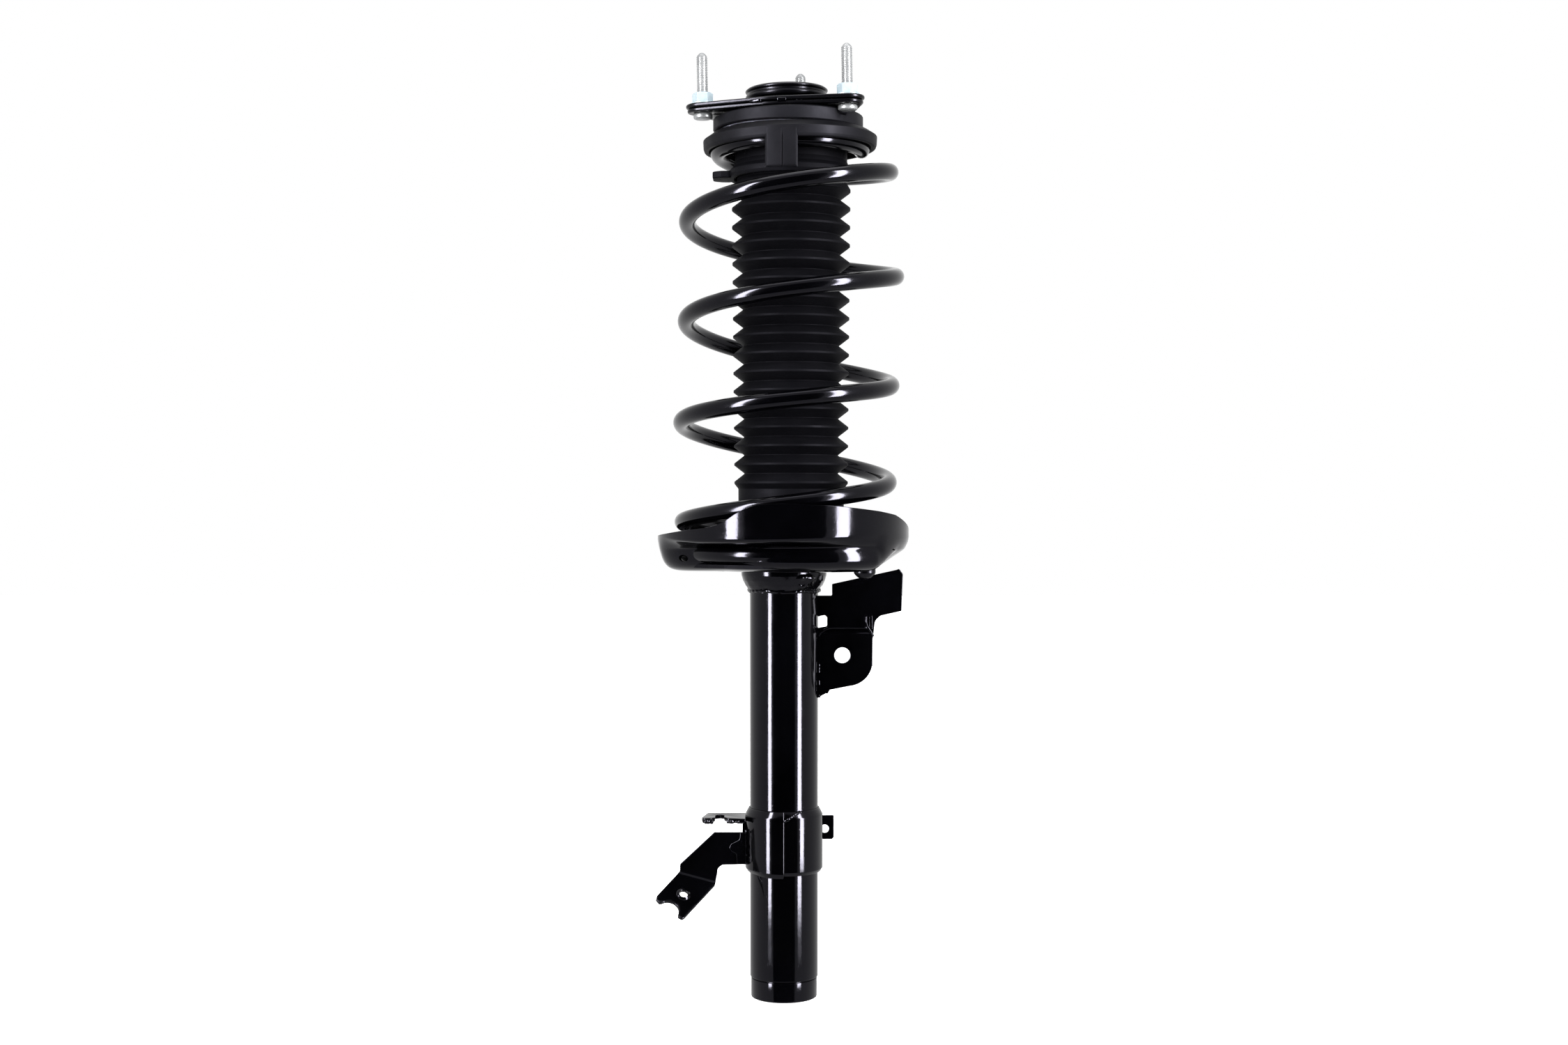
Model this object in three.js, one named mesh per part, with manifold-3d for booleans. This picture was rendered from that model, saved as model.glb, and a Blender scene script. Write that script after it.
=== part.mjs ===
// Front suspension strut: damper, spring, dust bellows, steering bearing and three-stud top mount.
// Millimetres, +Z up. The damper axis is the Z axis and the tube's closed lower end is at z = 0.
import * as THREE from "three";
import { mergeVertices } from "three/addons/utils/BufferGeometryUtils.js";
import Module from "manifold-3d";

// ---- driving dimensions ----
const GAP = 0.3; // running gap between pieces that touch
const ROUND = 32; // segments round a large turned piece
const INNER_ROUND = 16; // segments round a small or inner turned piece

const TUBE_R = 25;
const TUBE_WALL = 2.6;
const TUBE_TOP = 374.5;
const FOOT_R = 24.2; // reduced length that the knuckle grips
const FOOT_H = 14.8;
const BORE_R = 16; // damper cylinder
const CYLINDER_WALL = 1.2;
const CYLINDER_BOTTOM = 10.3;
const CYLINDER_TOP = 352.3;
const ROD_R = 10;
const RING_R = 15.8; // piston ring, clear of the cylinder's flats as it turns
const THREAD_R = 6; // reduced ends of the rod
const ROD_SHOULDER = 615.7;
const ROD_TOP = 662.6;
const ROD_BOTTOM = 260;
const PISTON_BOTTOM = 272;
const PISTON_TOP = 290;

const SEAT_R = 90.5; // lower spring seat
const SEAT_SHIFT = 0.8; // the lower seat's dish is this far off the damper axis
const SEAT_FLOOR = 312.3;
const SEAT_SHEET = 3;
const SEAT_RIM = 361;
const CHANNEL_LIFT = 7; // rise of the spring channel where the coil climbs out of it

const WIRE_R = 6.15;
const COIL_TURN_STEPS = 14;
const COIL_FIRST_DEG = -168;
const COIL_LAST_DEG = 1815;
const COIL_EASE_DEG = 40; // the coil's knots are averaged this far each way

const BELLOWS_SHIFT = 5.2;
const BELLOWS_BOTTOM = 330;
const BELLOWS_TOP = 602.7;
const FOLDS = 17;
const FIRST_FOLD = 376.4;
const FOLD_PITCH = 13.3;
const BELLOWS_FOOT_R = 38.6;
const BELLOWS_NECK_R = 39;
const NECK_BOTTOM = 596;
const RUBBER = 1.5; // wall of the bellows

const HEAD_SHIFT = 4.5; // the upper seat sits beside the damper axis, to cancel side load
const LIP_R = 63.5;
const COVER_R = 54.7; // bearing cover
const BALL_CIRCLE = 44;
const BALL_R = 2.4;
const BALLS = 12;

const PLATE_BOTTOM = 643.6;
const PLATE_SHEET = 2.9;
const STUD_CIRCLE = 61.3;
const STUD_ANGLES = [-42.5, 77.5, 197.5];
const STUD_R = 4;
const STUD_TOP = 687.2;
const PLATE_R = 51;
const LOBE_R = 12.1;
const NUT_FLATS = 13;
const NUT_FLANGE_R = 9;
const CUP_R = 31.5; // cup that holds the rubber core

const SLEEVE_BOTTOM = 92.2;
const SLEEVE_TOP = 135;
const SLEEVE_R = 28.4;
const SHEET = 2.6; // bracket sheet

// ---- materials ----
const coat = (color, roughness, metalness) => () =>
  new THREE.MeshStandardMaterial({ color, roughness, metalness });
const blackPaint = coat(0x08080b, 0.18, 0.2);
const rubber = coat(0x131318, 0.8, 0);
const plastic = coat(0x17171c, 0.65, 0);
const zinc = coat(0xc3ccd2, 0.35, 0.9);
const chrome = coat(0xd4d8dc, 0.12, 1);
const steel = coat(0x8d9196, 0.4, 0.9);
const alloy = coat(0xa9adb2, 0.5, 0.7);
const foam = coat(0xcbb98a, 0.85, 0);
const resin = coat(0x9a8f76, 0.6, 0);

// ---- solids ----
const wasm = await Module();
wasm.setup();

function solidOf(geometry) {
  const bare = geometry.clone();
  bare.deleteAttribute("normal");
  bare.deleteAttribute("uv");
  const merged = mergeVertices(bare, 1e-4);
  return new wasm.Manifold(
    new wasm.Mesh({
      numProp: 3,
      vertProperties: merged.attributes.position.array,
      triVerts: new Uint32Array(merged.index.array),
    }),
  );
}

function geometryOf(solid) {
  const mesh = solid.getMesh();
  const geometry = new THREE.BufferGeometry();
  geometry.setAttribute("position", new THREE.BufferAttribute(mesh.vertProperties, 3));
  geometry.setIndex(new THREE.BufferAttribute(mesh.triVerts, 1));
  return geometry;
}

const union = (...parts) => geometryOf(parts.map(solidOf).reduce((a, b) => a.add(b)));
const cut = (body, ...tools) =>
  geometryOf(tools.map(solidOf).reduce((a, b) => a.subtract(b), solidOf(body)));
const common = (a, b) => geometryOf(solidOf(a).intersect(solidOf(b)));

// A turned piece about +Z from a profile of [radius, height] pairs, whichever way round it is given.
function turned(profile, segments = INNER_ROUND, shiftX = 0) {
  const area = profile.reduce((sum, [r, z], i) => {
    const [nextR, nextZ] = profile[(i + 1) % profile.length];
    return sum + r * nextZ - nextR * z;
  }, 0);
  const ordered = area > 0 ? profile : [...profile].reverse();
  const points = [...ordered, ordered[0]].map(([r, z]) => new THREE.Vector2(r, z));
  return new THREE.LatheGeometry(points, segments).rotateX(Math.PI / 2).translate(shiftX, 0, 0);
}

const ring = (inner, outer, z0, z1, segments, shiftX) =>
  turned([[inner, z0], [outer, z0], [outer, z1], [inner, z1]], segments, shiftX);

function outline(points, holes = []) {
  const shape = new THREE.Shape(points.map(([x, y]) => new THREE.Vector2(x, y)));
  for (const [x, y, r] of holes) {
    shape.holes.push(new THREE.Path().absarc(x, y, r, 0, 2 * Math.PI, true));
  }
  return shape;
}

const slab = (points, z0, z1, holes) =>
  new THREE.ExtrudeGeometry(outline(points, holes), {
    depth: z1 - z0,
    bevelEnabled: false,
    curveSegments: 10,
  }).translate(0, 0, z0);

// A sheet standing across the view: its outline is in X and Z, its thickness from y0 to y1.
const standing = (points, y0, y1, holes) =>
  slab(points, -y1, -y0, holes).rotateX(Math.PI / 2);

function block(x0, x1, y0, y1, z0, z1) {
  const box = new THREE.BoxGeometry(x1 - x0, y1 - y0, z1 - z0);
  return box.translate((x0 + x1) / 2, (y0 + y1) / 2, (z0 + z1) / 2);
}

const polar = (deg, r) => [r * Math.cos((deg * Math.PI) / 180), r * Math.sin((deg * Math.PI) / 180)];
const arc = (cx, cy, r, from, to, steps) =>
  Array.from({ length: steps + 1 }, (_, i) => {
    const [x, y] = polar(from + ((to - from) * i) / steps, r);
    return [cx + x, cy + y];
  });

const hexagon = (flats, z0, z1, bore) =>
  slab(arc(0, 0, flats / Math.sqrt(3), 0, 300, 5), z0, z1, [[0, 0, bore]]);

function warp(geometry, move) {
  const at = geometry.getAttribute("position");
  for (let i = 0; i < at.count; i++) {
    const [x, y, z] = move(at.getX(i), at.getY(i), at.getZ(i));
    at.setXYZ(i, x, y, z);
  }
  return geometry;
}

const smooth = (from, to, value) => {
  const t = Math.min(1, Math.max(0, (value - from) / (to - from)));
  return t * t * (3 - 2 * t);
};

function between(knots, value) {
  const i = Math.max(1, knots.findIndex(([at]) => at >= value));
  const [a, p] = knots[i - 1];
  const [b, q] = knots[i];
  return p + ((q - p) * (value - a)) / (b - a);
}

const group = new THREE.Group();
group.name = "strut_assembly";
function add(name, geometry, material) {
  const mesh = new THREE.Mesh(geometry, material());
  mesh.name = name;
  group.add(mesh);
}

// ---- damper tube and its inner pieces ----
const tubeBore = TUBE_R - TUBE_WALL;
const fitR = tubeBore - GAP;
add(
  "outer_tube",
  turned(
    [
      [tubeBore, 0],
      [FOOT_R - 1, 0],
      [FOOT_R, 1],
      [FOOT_R, FOOT_H - 1],
      [FOOT_R - 0.5, FOOT_H - 0.4],
      [TUBE_R, FOOT_H + 0.4],
      [TUBE_R, TUBE_TOP - 3],
      [TUBE_R - 2.5, TUBE_TOP],
      [18, TUBE_TOP],
      [18, TUBE_TOP - 2.2],
      [tubeBore, TUBE_TOP - 2.5],
    ],
    ROUND,
  ),
  blackPaint,
);
add("base_cup", turned([[0, 0], [fitR, 0], [fitR, 9], [19.5, 9], [18, 4], [0, 4]]), steel);
add(
  "base_valve",
  turned([[0, 4.3], [17, 4.3], [17, 10], [BORE_R - GAP, 10], [BORE_R - GAP, 18], [9, 22], [0, 22]]),
  alloy,
);
add(
  "inner_cylinder",
  ring(BORE_R, BORE_R + CYLINDER_WALL, CYLINDER_BOTTOM, CYLINDER_TOP, ROUND),
  steel,
);
add(
  "rod_guide",
  turned([
    [ROD_R + GAP, 340],
    [BORE_R - GAP, 340],
    [BORE_R - GAP, CYLINDER_TOP + GAP],
    [fitR, CYLINDER_TOP + GAP],
    [fitR, 362],
    [ROD_R + GAP, 362],
  ]),
  alloy,
);
add(
  "rod_seal",
  turned([
    [12, 362.3],
    [fitR, 362.3],
    [fitR, 368.7],
    [14, 368.7],
    [ROD_R + GAP, 367],
    [ROD_R + GAP, 365],
  ]),
  rubber,
);
add("closing_washer", ring(11, fitR, 369, TUBE_TOP - 2.8), steel);

// ---- rod and piston ----
add(
  "piston_rod",
  turned([
    [0, ROD_BOTTOM],
    [THREAD_R, ROD_BOTTOM],
    [THREAD_R, PISTON_TOP + GAP],
    [ROD_R, PISTON_TOP + GAP],
    [ROD_R, ROD_SHOULDER],
    [THREAD_R, ROD_SHOULDER],
    [THREAD_R, ROD_TOP - 1],
    [THREAD_R - 1, ROD_TOP],
    [0, ROD_TOP],
  ]),
  chrome,
);
add(
  "piston",
  turned([
    [THREAD_R + GAP, PISTON_BOTTOM],
    [BORE_R - GAP, PISTON_BOTTOM],
    [BORE_R - GAP, 278],
    [14.6, 278],
    [14.6, 286],
    [BORE_R - GAP, 286],
    [BORE_R - GAP, PISTON_TOP],
    [THREAD_R + GAP, PISTON_TOP],
  ]),
  alloy,
);
add("piston_ring", ring(14.9, RING_R, 278.3, 285.7), resin);
add("piston_nut", hexagon(17, 262, PISTON_BOTTOM - GAP, THREAD_R + GAP), steel);
add("rebound_stop", ring(ROD_R + GAP, 15.2, 330, 339.7), rubber);

// ---- lower spring seat ----
// The rim is high across the front, falls at the right and drops to a low edge at the left.
const RIM_BY_ANGLE = [
  [-180, 337],
  [-150, 341],
  [-124, 344],
  [-105, SEAT_RIM],
  [-62, 360],
  [-38, 355],
  [-20, 349.5],
  [0, 343],
  [40, 341],
  [120, 341],
  [180, 337],
];
const WALL_FOOT = 337;
// The coil's end lies in the low channel across the front and climbs out of it at the right.
const channelLift = (deg) => CHANNEL_LIFT * smooth(-46, -22, deg) * (1 - smooth(110, 165, deg));
const angleOf = (x, y) => (Math.atan2(y, x) * 180) / Math.PI;

function seatForm(x, y, z) {
  const deg = angleOf(x, y);
  const r = Math.hypot(x, y);
  if (z > WALL_FOOT) {
    const share = (z - WALL_FOOT) / (SEAT_RIM - WALL_FOOT);
    return [x, y, WALL_FOOT + share * (between(RIM_BY_ANGLE, deg) - WALL_FOOT + GAP)];
  }
  const depth = (WALL_FOOT - z) / (WALL_FOOT - SEAT_FLOOR);
  return [x, y, z + channelLift(deg) * smooth(48, 64, r) * Math.min(1, depth)];
}

const bowl = warp(
  turned(
    [
      [TUBE_R - 4, SEAT_FLOOR],
      [48, SEAT_FLOOR],
      [64, SEAT_FLOOR],
      [77, SEAT_FLOOR],
      [82, SEAT_FLOOR + 2.5],
      [85.5, SEAT_FLOOR + 7],
      [87, 328],
      [SEAT_R, WALL_FOOT],
      [SEAT_R, SEAT_RIM],
      [SEAT_R - SEAT_SHEET + 0.4, SEAT_RIM],
      [SEAT_R - SEAT_SHEET + 0.4, WALL_FOOT],
      [84.2, 328],
      [82.4, SEAT_FLOOR + 8],
      [80, SEAT_FLOOR + 5],
      [76, SEAT_FLOOR + SEAT_SHEET],
      [64, SEAT_FLOOR + SEAT_SHEET],
      [48, SEAT_FLOOR + SEAT_SHEET],
      [TUBE_R - 4, SEAT_FLOOR + SEAT_SHEET],
    ],
    ROUND,
  ),
  seatForm,
).translate(SEAT_SHIFT, 0, 0);
const drain = (deg, r, radius) => {
  const [x, y] = polar(deg, r);
  return new THREE.CylinderGeometry(radius, radius, 60, 16)
    .rotateX(Math.PI / 2)
    .translate(x, y, SEAT_FLOOR);
};
const tubeHole = ring(0, TUBE_R + GAP, 300, 330, ROUND);
add(
  "lower_spring_seat",
  cut(bowl, tubeHole, drain(-150, 56, 5), drain(30, 50, 5), drain(120, 52, 5)),
  blackPaint,
);
add(
  "seat_collar",
  turned(
    [
      [TUBE_R + GAP, 296],
      [TUBE_R + 1.2, 296],
      [28.6, 303],
      [30.3, 308],
      [30.3, SEAT_FLOOR - GAP],
      [TUBE_R + GAP, SEAT_FLOOR - GAP],
    ],
    ROUND,
  ),
  blackPaint,
);

// The rubber pad lies in the channel under the end of the coil.
const PAD_FROM = -172;
const PAD_TO = -55;
const padBottom = SEAT_FLOOR + SEAT_SHEET + GAP;
const padRing = ring(67, 75.4, padBottom, padBottom + 2.6, ROUND);
const sector = slab([[0, 0], ...arc(0, 0, SEAT_R, PAD_FROM, PAD_TO, 24)], 300, 350);
add("lower_spring_pad", common(padRing, sector), rubber);

// ---- coil spring ----
// Height and radius of the wire's centreline by turning angle, in degrees; it rises anticlockwise.
const COIL_HEIGHTS = [
  [-180, 325.2],
  [-60, 325.2],
  [-20, 331],
  [20, 335.5],
  [90, 340],
  [180, 346.5],
  [360, 376.4],
  [540, 420.8],
  [720, 446.8],
  [900, 494.2],
  [1080, 526.9],
  [1260, 566.2],
  [1440, 604.4],
  [1560, 610],
  [1640, 616],
  [1700, 618.7],
  [1830, 619],
];
const COIL_RADII = [
  [-180, 72],
  [-20, 73],
  [180, 74.5],
  [360, 75.5],
  [1080, 76.2],
  [1260, 74.5],
  [1400, 78],
  [1450, 76],
  [1560, 53],
  [1830, 51],
];
const COIL_SHIFT = [
  [-180, 0.8],
  [180, 1.8],
  [1440, HEAD_SHIFT],
  [1830, HEAD_SHIFT + 0.8],
];

// The knots averaged over a stretch each way, so that the wire bends without corners.
function eased(knots, deg) {
  const last = knots.length - 1;
  const clamp = (value) => Math.min(knots[last][0], Math.max(knots[0][0], value));
  const samples = [-1, -0.5, 0, 0.5, 1].map((share) => clamp(deg + share * COIL_EASE_DEG));
  return samples.reduce((sum, at) => sum + between(knots, at), 0) / samples.length;
}

function coilPoint(deg) {
  const [x, y] = polar(deg, eased(COIL_RADII, deg));
  return new THREE.Vector3(x + eased(COIL_SHIFT, deg), y, eased(COIL_HEIGHTS, deg));
}

const coilSteps = Math.round(((COIL_LAST_DEG - COIL_FIRST_DEG) / 360) * COIL_TURN_STEPS);
const coilPath = new THREE.CatmullRomCurve3(
  Array.from({ length: coilSteps + 1 }, (_, i) =>
    coilPoint(COIL_FIRST_DEG + ((COIL_LAST_DEG - COIL_FIRST_DEG) * i) / coilSteps),
  ),
);
add(
  "coil_spring",
  new THREE.ExtrudeGeometry(outline(arc(0, 0, WIRE_R, 0, 315, 7)), {
    steps: coilSteps,
    bevelEnabled: false,
    extrudePath: coilPath,
  }),
  blackPaint,
);

// ---- dust bellows ----
function foldProfile(offset) {
  const points = [];
  for (let i = 0; i < FOLDS; i++) {
    const peak = 41.6 + (1.9 * i) / (FOLDS - 1);
    const valley = 34 + (1.7 * i) / (FOLDS - 1);
    const z = FIRST_FOLD + FOLD_PITCH * i;
    points.push([peak - offset * 1.6, z]);
    if (i < FOLDS - 1) points.push([valley - offset, z + FOLD_PITCH / 2]);
  }
  return points;
}
add(
  "dust_bellows",
  turned(
    [
      [BELLOWS_FOOT_R, BELLOWS_BOTTOM],
      [BELLOWS_FOOT_R, FIRST_FOLD - 5],
      ...foldProfile(0),
      [BELLOWS_NECK_R, NECK_BOTTOM],
      [BELLOWS_NECK_R, BELLOWS_TOP],
      [BELLOWS_NECK_R - RUBBER, BELLOWS_TOP],
      [BELLOWS_NECK_R - RUBBER, NECK_BOTTOM],
      ...foldProfile(RUBBER).reverse(),
      [BELLOWS_FOOT_R - RUBBER, FIRST_FOLD - 5],
      [BELLOWS_FOOT_R - RUBBER, BELLOWS_BOTTOM],
    ],
    INNER_ROUND,
    BELLOWS_SHIFT,
  ),
  rubber,
);

// ---- bump stop ----
const BUMP_BOTTOM = 529;
const BUMP_TOP = 603;
const BUMP_BORE = ROD_R + 0.5;
const bumpWaves = Array.from({ length: 9 }, (_, i) => [
  i % 2 ? 24.5 : 20.5,
  BUMP_BOTTOM + 4 + ((BUMP_TOP - BUMP_BOTTOM - 8) * i) / 8,
]);
add(
  "bump_stop",
  turned([
    [BUMP_BORE, BUMP_BOTTOM],
    [16, BUMP_BOTTOM],
    ...bumpWaves,
    [22, BUMP_TOP],
    [BUMP_BORE, BUMP_TOP],
  ]),
  foam,
);
add(
  "bump_stop_cup",
  turned([
    [BUMP_BORE, BUMP_TOP + GAP],
    [25, BUMP_TOP + GAP],
    [25, 597],
    [27, 597],
    [27, 606],
    [BUMP_BORE, 606],
  ]),
  steel,
);

// ---- upper spring seat, insulator and steering bearing ----
const RACE_IN = 38;
const RACE_OUT = 50;
const SEAT_BORE = 34;
const COVER_SHIFT = 3;
const lip = turned(
  [
    [0, 625.6],
    [59, 625.6],
    [59.5, 619.2],
    [LIP_R - 1, 619.2],
    [LIP_R, 620.5],
    [LIP_R, 627.8],
    [57, 631.8],
    [0, 632.2],
  ],
  ROUND,
  HEAD_SHIFT,
);
const seatBore = ring(0, SEAT_BORE, 600, 660, ROUND);
const raceRecess = (z0, z1) => ring(RACE_IN - 0.8, RACE_OUT + 0.8, z0, z1, ROUND);
const TAB_X0 = -13;
const TAB_X1 = 9.7;
const tab = union(
  block(TAB_X0, TAB_X1, -63, -60, 597, 626),
  block(TAB_X0, TAB_X1, -61, -47.5, 597, 600),
);
add("upper_spring_seat", cut(union(lip, tab), seatBore, raceRecess(628.2, 640)), plastic);
const insulatorBody = turned(
  [
    [34.6, 603],
    [41.3, 603],
    [41.3, 597],
    [46, 597],
    [46, 602],
    [41.5, 606],
    [41, 625.2],
    [38, 625.2],
    [38, 619.5],
    [34.6, 619.5],
  ],
  ROUND,
  BELLOWS_SHIFT,
);
const wing = block(-52, -38, -13, 13, 598, 602);
add("upper_insulator", union(insulatorBody, wing), rubber);

add("bearing_lower_race", ring(RACE_IN, RACE_OUT, 628.5, 631.3), steel);
const balls = Array.from({ length: BALLS }, (_, i) => {
  const [x, y] = polar((360 / BALLS) * i, BALL_CIRCLE);
  return new THREE.SphereGeometry(BALL_R, 6, 5).translate(x, y, 634);
});
add("ball_cage", union(ring(BALL_CIRCLE - 2, BALL_CIRCLE + 2, 633.2, 634.8), ...balls), resin);
add("bearing_upper_race", ring(RACE_IN, RACE_OUT, 636.7, 639.3), steel);
const coverBody = turned(
  [
    [0, 632.6],
    [COVER_R - 1, 632.6],
    [COVER_R, 633.4],
    [COVER_R, 638.2],
    [51.6, 639.1],
    [51, 639.6],
    [51, PLATE_BOTTOM - GAP],
    [0, PLATE_BOTTOM - GAP],
  ],
  ROUND,
  COVER_SHIFT,
);
add("bearing_cover", cut(coverBody, seatBore, raceRecess(620, 639.6)), plastic);

// ---- top mount ----
// A rounded triangle: a lobe round each stud, joined to a central disc by straight tangents.
function lobedOutline(discR, lobeR) {
  const lean = (Math.acos((discR - lobeR) / STUD_CIRCLE) * 180) / Math.PI;
  return STUD_ANGLES.flatMap((deg) => {
    const [x, y] = polar(deg, STUD_CIRCLE);
    return [
      ...arc(x, y, lobeR, deg - lean, deg + lean, 8),
      ...arc(0, 0, discR, deg + lean, deg + 120 - lean, 3),
    ];
  });
}
const studHoles = STUD_ANGLES.map((deg) => [...polar(deg, STUD_CIRCLE), STUD_R + GAP]);
const upperSheet = PLATE_BOTTOM + PLATE_SHEET + GAP;
const plateTop = upperSheet + PLATE_SHEET;
const CAP_BOTTOM = plateTop + 0.4;
add(
  "mount_plate_lower",
  slab(lobedOutline(PLATE_R - 1, LOBE_R - 1), PLATE_BOTTOM, PLATE_BOTTOM + PLATE_SHEET, [
    [0, 0, CUP_R + 1.5],
    ...studHoles,
  ]),
  blackPaint,
);
add(
  "mount_plate_upper",
  slab(lobedOutline(PLATE_R, LOBE_R), upperSheet, plateTop, [[0, 0, CUP_R + 1], ...studHoles]),
  blackPaint,
);
add(
  "mount_cup",
  turned(
    [
      [14.5, 620],
      [29, 620],
      [CUP_R, 624],
      [CUP_R, plateTop - 1],
      [30, plateTop - 1],
      [30, 625],
      [28.4, 622.5],
      [14.5, 622.5],
    ],
    ROUND,
  ),
  blackPaint,
);
add(
  "rubber_core",
  turned([
    [13.8, 622.8],
    [28, 622.8],
    [29.7, 625.6],
    [29.7, 644.6],
    [26, 647.6],
    [13.8, 647.6],
  ]),
  rubber,
);
add("core_sleeve", ring(THREAD_R + GAP, 13.5, ROD_SHOULDER + GAP, CAP_BOTTOM - GAP), steel);
add(
  "mount_cap",
  turned(
    [
      [THREAD_R + GAP, CAP_BOTTOM],
      [24, CAP_BOTTOM],
      [25, CAP_BOTTOM + 5.1],
      [30, CAP_BOTTOM + 5.9],
      [30, CAP_BOTTOM + 8.7],
      [28.4, CAP_BOTTOM + 9.3],
      [28.4, CAP_BOTTOM + 10.5],
      [29.8, CAP_BOTTOM + 11.1],
      [29.4, CAP_BOTTOM + 13.7],
      [28, CAP_BOTTOM + 14.5],
      [15, CAP_BOTTOM + 14.5],
      [14, CAP_BOTTOM + 13],
      [14, CAP_BOTTOM + 3],
      [THREAD_R + GAP, CAP_BOTTOM + 3],
    ],
    ROUND,
  ),
  blackPaint,
);
add("rod_nut", hexagon(18, CAP_BOTTOM + 3.3, CAP_BOTTOM + 11.3, THREAD_R + GAP), steel);

STUD_ANGLES.forEach((deg, i) => {
  const [x, y] = polar(deg, STUD_CIRCLE);
  const stud = turned([
    [0, PLATE_BOTTOM - 4.1],
    [6, PLATE_BOTTOM - 4.1],
    [6.9, PLATE_BOTTOM - 3.2],
    [6.9, PLATE_BOTTOM - GAP],
    [STUD_R, PLATE_BOTTOM - GAP],
    [STUD_R, STUD_TOP - 4],
    [STUD_R - 1, STUD_TOP - 2],
    [1.2, STUD_TOP],
    [0, STUD_TOP],
  ]);
  add(`stud_${i + 1}`, stud.translate(x, y, 0), zinc);
  const flange = ring(STUD_R + GAP, NUT_FLANGE_R, plateTop + GAP, plateTop + 2);
  const hex = hexagon(NUT_FLATS, plateTop + 1.5, plateTop + 8.6, STUD_R + GAP);
  const nutBore = ring(0, STUD_R + GAP, plateTop - 1, plateTop + 10);
  const nut = cut(union(flange, hex), nutBore);
  add(`stud_nut_${i + 1}`, nut.rotateZ((deg * Math.PI) / 180).translate(x, y, 0), zinc);
});

// ---- link bracket, at the right of the tube ----
const BRACKET_X = TUBE_R + 0.6;
const linkUpper = standing(
  [
    [BRACKET_X, 278.5],
    [31.6, 278.5],
    [31.6, 267],
    [66.3, 267],
    [67, 275.5],
    [70.5, 279],
    [86.1, 282.5],
    [87.1, 310.3],
    [84.5, 313],
    [35.2, 302.2],
    [35.2, 293.7],
    [BRACKET_X, 293.7],
  ],
  -1,
  -1 + SHEET,
);
const linkLower = standing(
  [
    [BRACKET_X, 270],
    [BRACKET_X, 219.5],
    [32.1, 222.5],
    [33.2, 224.5],
    [47.3, 227.6],
    [56, 232],
    [62, 239],
    [64.8, 247],
    [64.8, 270],
  ],
  -5,
  -5 + SHEET,
  [[42.5, 250.2, 6]],
);
const linkFold = block(BRACKET_X, 64.8, -5, -1 + SHEET, 267, 270);
const linkEdge = block(64.8 - SHEET, 64.8, -5, 7, 243, 270);
add("link_bracket", union(linkUpper, linkLower, linkFold, linkEdge), blackPaint);

// ---- locator sleeve and the pieces welded to it ----
const sleeve = turned(
  [
    [TUBE_R + GAP, SLEEVE_BOTTOM],
    [27.2, SLEEVE_BOTTOM],
    [SLEEVE_R, SLEEVE_BOTTOM + 2],
    [SLEEVE_R, SLEEVE_TOP - 5],
    [26.2, SLEEVE_TOP],
    [TUBE_R + GAP, SLEEVE_TOP],
  ],
  ROUND,
);
add("locator_sleeve", cut(sleeve, block(0.4, 1.2, -40, 0, 80, 140)), blackPaint);

const SIDE_X = -(SLEEVE_R + GAP);
const hoseSide = block(SIDE_X - SHEET, SIDE_X, -11.3, 13, 97.5, 129);
const hoseArm = standing(
  [
    [SIDE_X, 98.3],
    [SIDE_X, 121.7],
    [-50.8, 121.7],
    [-75.9, 98.3],
    [-75.9, 93.7],
    [-49.5, 86.7],
    [-48.3, 95.4],
    [-45.4, 97.9],
  ],
  -11.3,
  -11.3 + SHEET,
);
// The hose tab hangs from the arm's lower edge, leaning forward about that edge.
const TAB_LEAN = (50 * Math.PI) / 180;
const along = new THREE.Vector3(26.4, 0, -7).normalize();
const downSlope = new THREE.Vector3(along.z, 0, -along.x)
  .multiplyScalar(Math.cos(TAB_LEAN))
  .add(new THREE.Vector3(0, -Math.sin(TAB_LEAN), 0));
const outOfTab = new THREE.Vector3().crossVectors(along, downSlope);
const tabFrame = new THREE.Matrix4()
  .makeBasis(along, downSlope, outOfTab)
  .setPosition(-75.9, -11.3 + SHEET, 93.7);
const hoseTab = slab(
  [
    [0, -1.5],
    [27.4, -1.5],
    [27.4, 1.5],
    [11.9, 39.2],
    [10.4, 40.6],
    [7.2, 39.4],
    ...arc(-0.5, 36, 7.4, 5, -128, 7),
    [-7.8, 31.8],
    [-11.2, 29.6],
    [-11.2, 26.6],
  ],
  0,
  SHEET,
  [[7, 19.3, 3]],
).applyMatrix4(tabFrame);
add("hose_bracket", union(hoseSide, hoseArm, hoseTab), blackPaint);

add(
  "clip_plate",
  slab(
    [
      [SIDE_X, 13],
      [-56.7, 13],
      [-59.8, -10],
      [-58.5, -13],
      [-50.2, -13],
      [-50.2, 2],
      [-47, 4.5],
      [-43.8, 2],
      [-43.8, -9],
      [-40.5, -13],
      [SIDE_X, -16],
    ],
    129.3,
    132.3,
  ),
  blackPaint,
);
add(
  "rear_tab",
  standing(
    [
      [24.6, 112.1],
      [35.6, 112.1],
      [37, 113.5],
      [37, 128.4],
      [35.6, 129.8],
      [24.6, 129.8],
    ],
    16,
    16 + SHEET,
    [[30.2, 120.4, 3.3]],
  ),
  blackPaint,
);

export default group;
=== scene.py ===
"""Front suspension strut, in metres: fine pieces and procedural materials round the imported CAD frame."""

from math import acos, atan2, cos, degrees, exp, hypot, inf, pi, radians, sin, sqrt, tan

import bmesh
import bpy
import numpy as np
from mathutils import Matrix, Vector, noise


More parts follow.
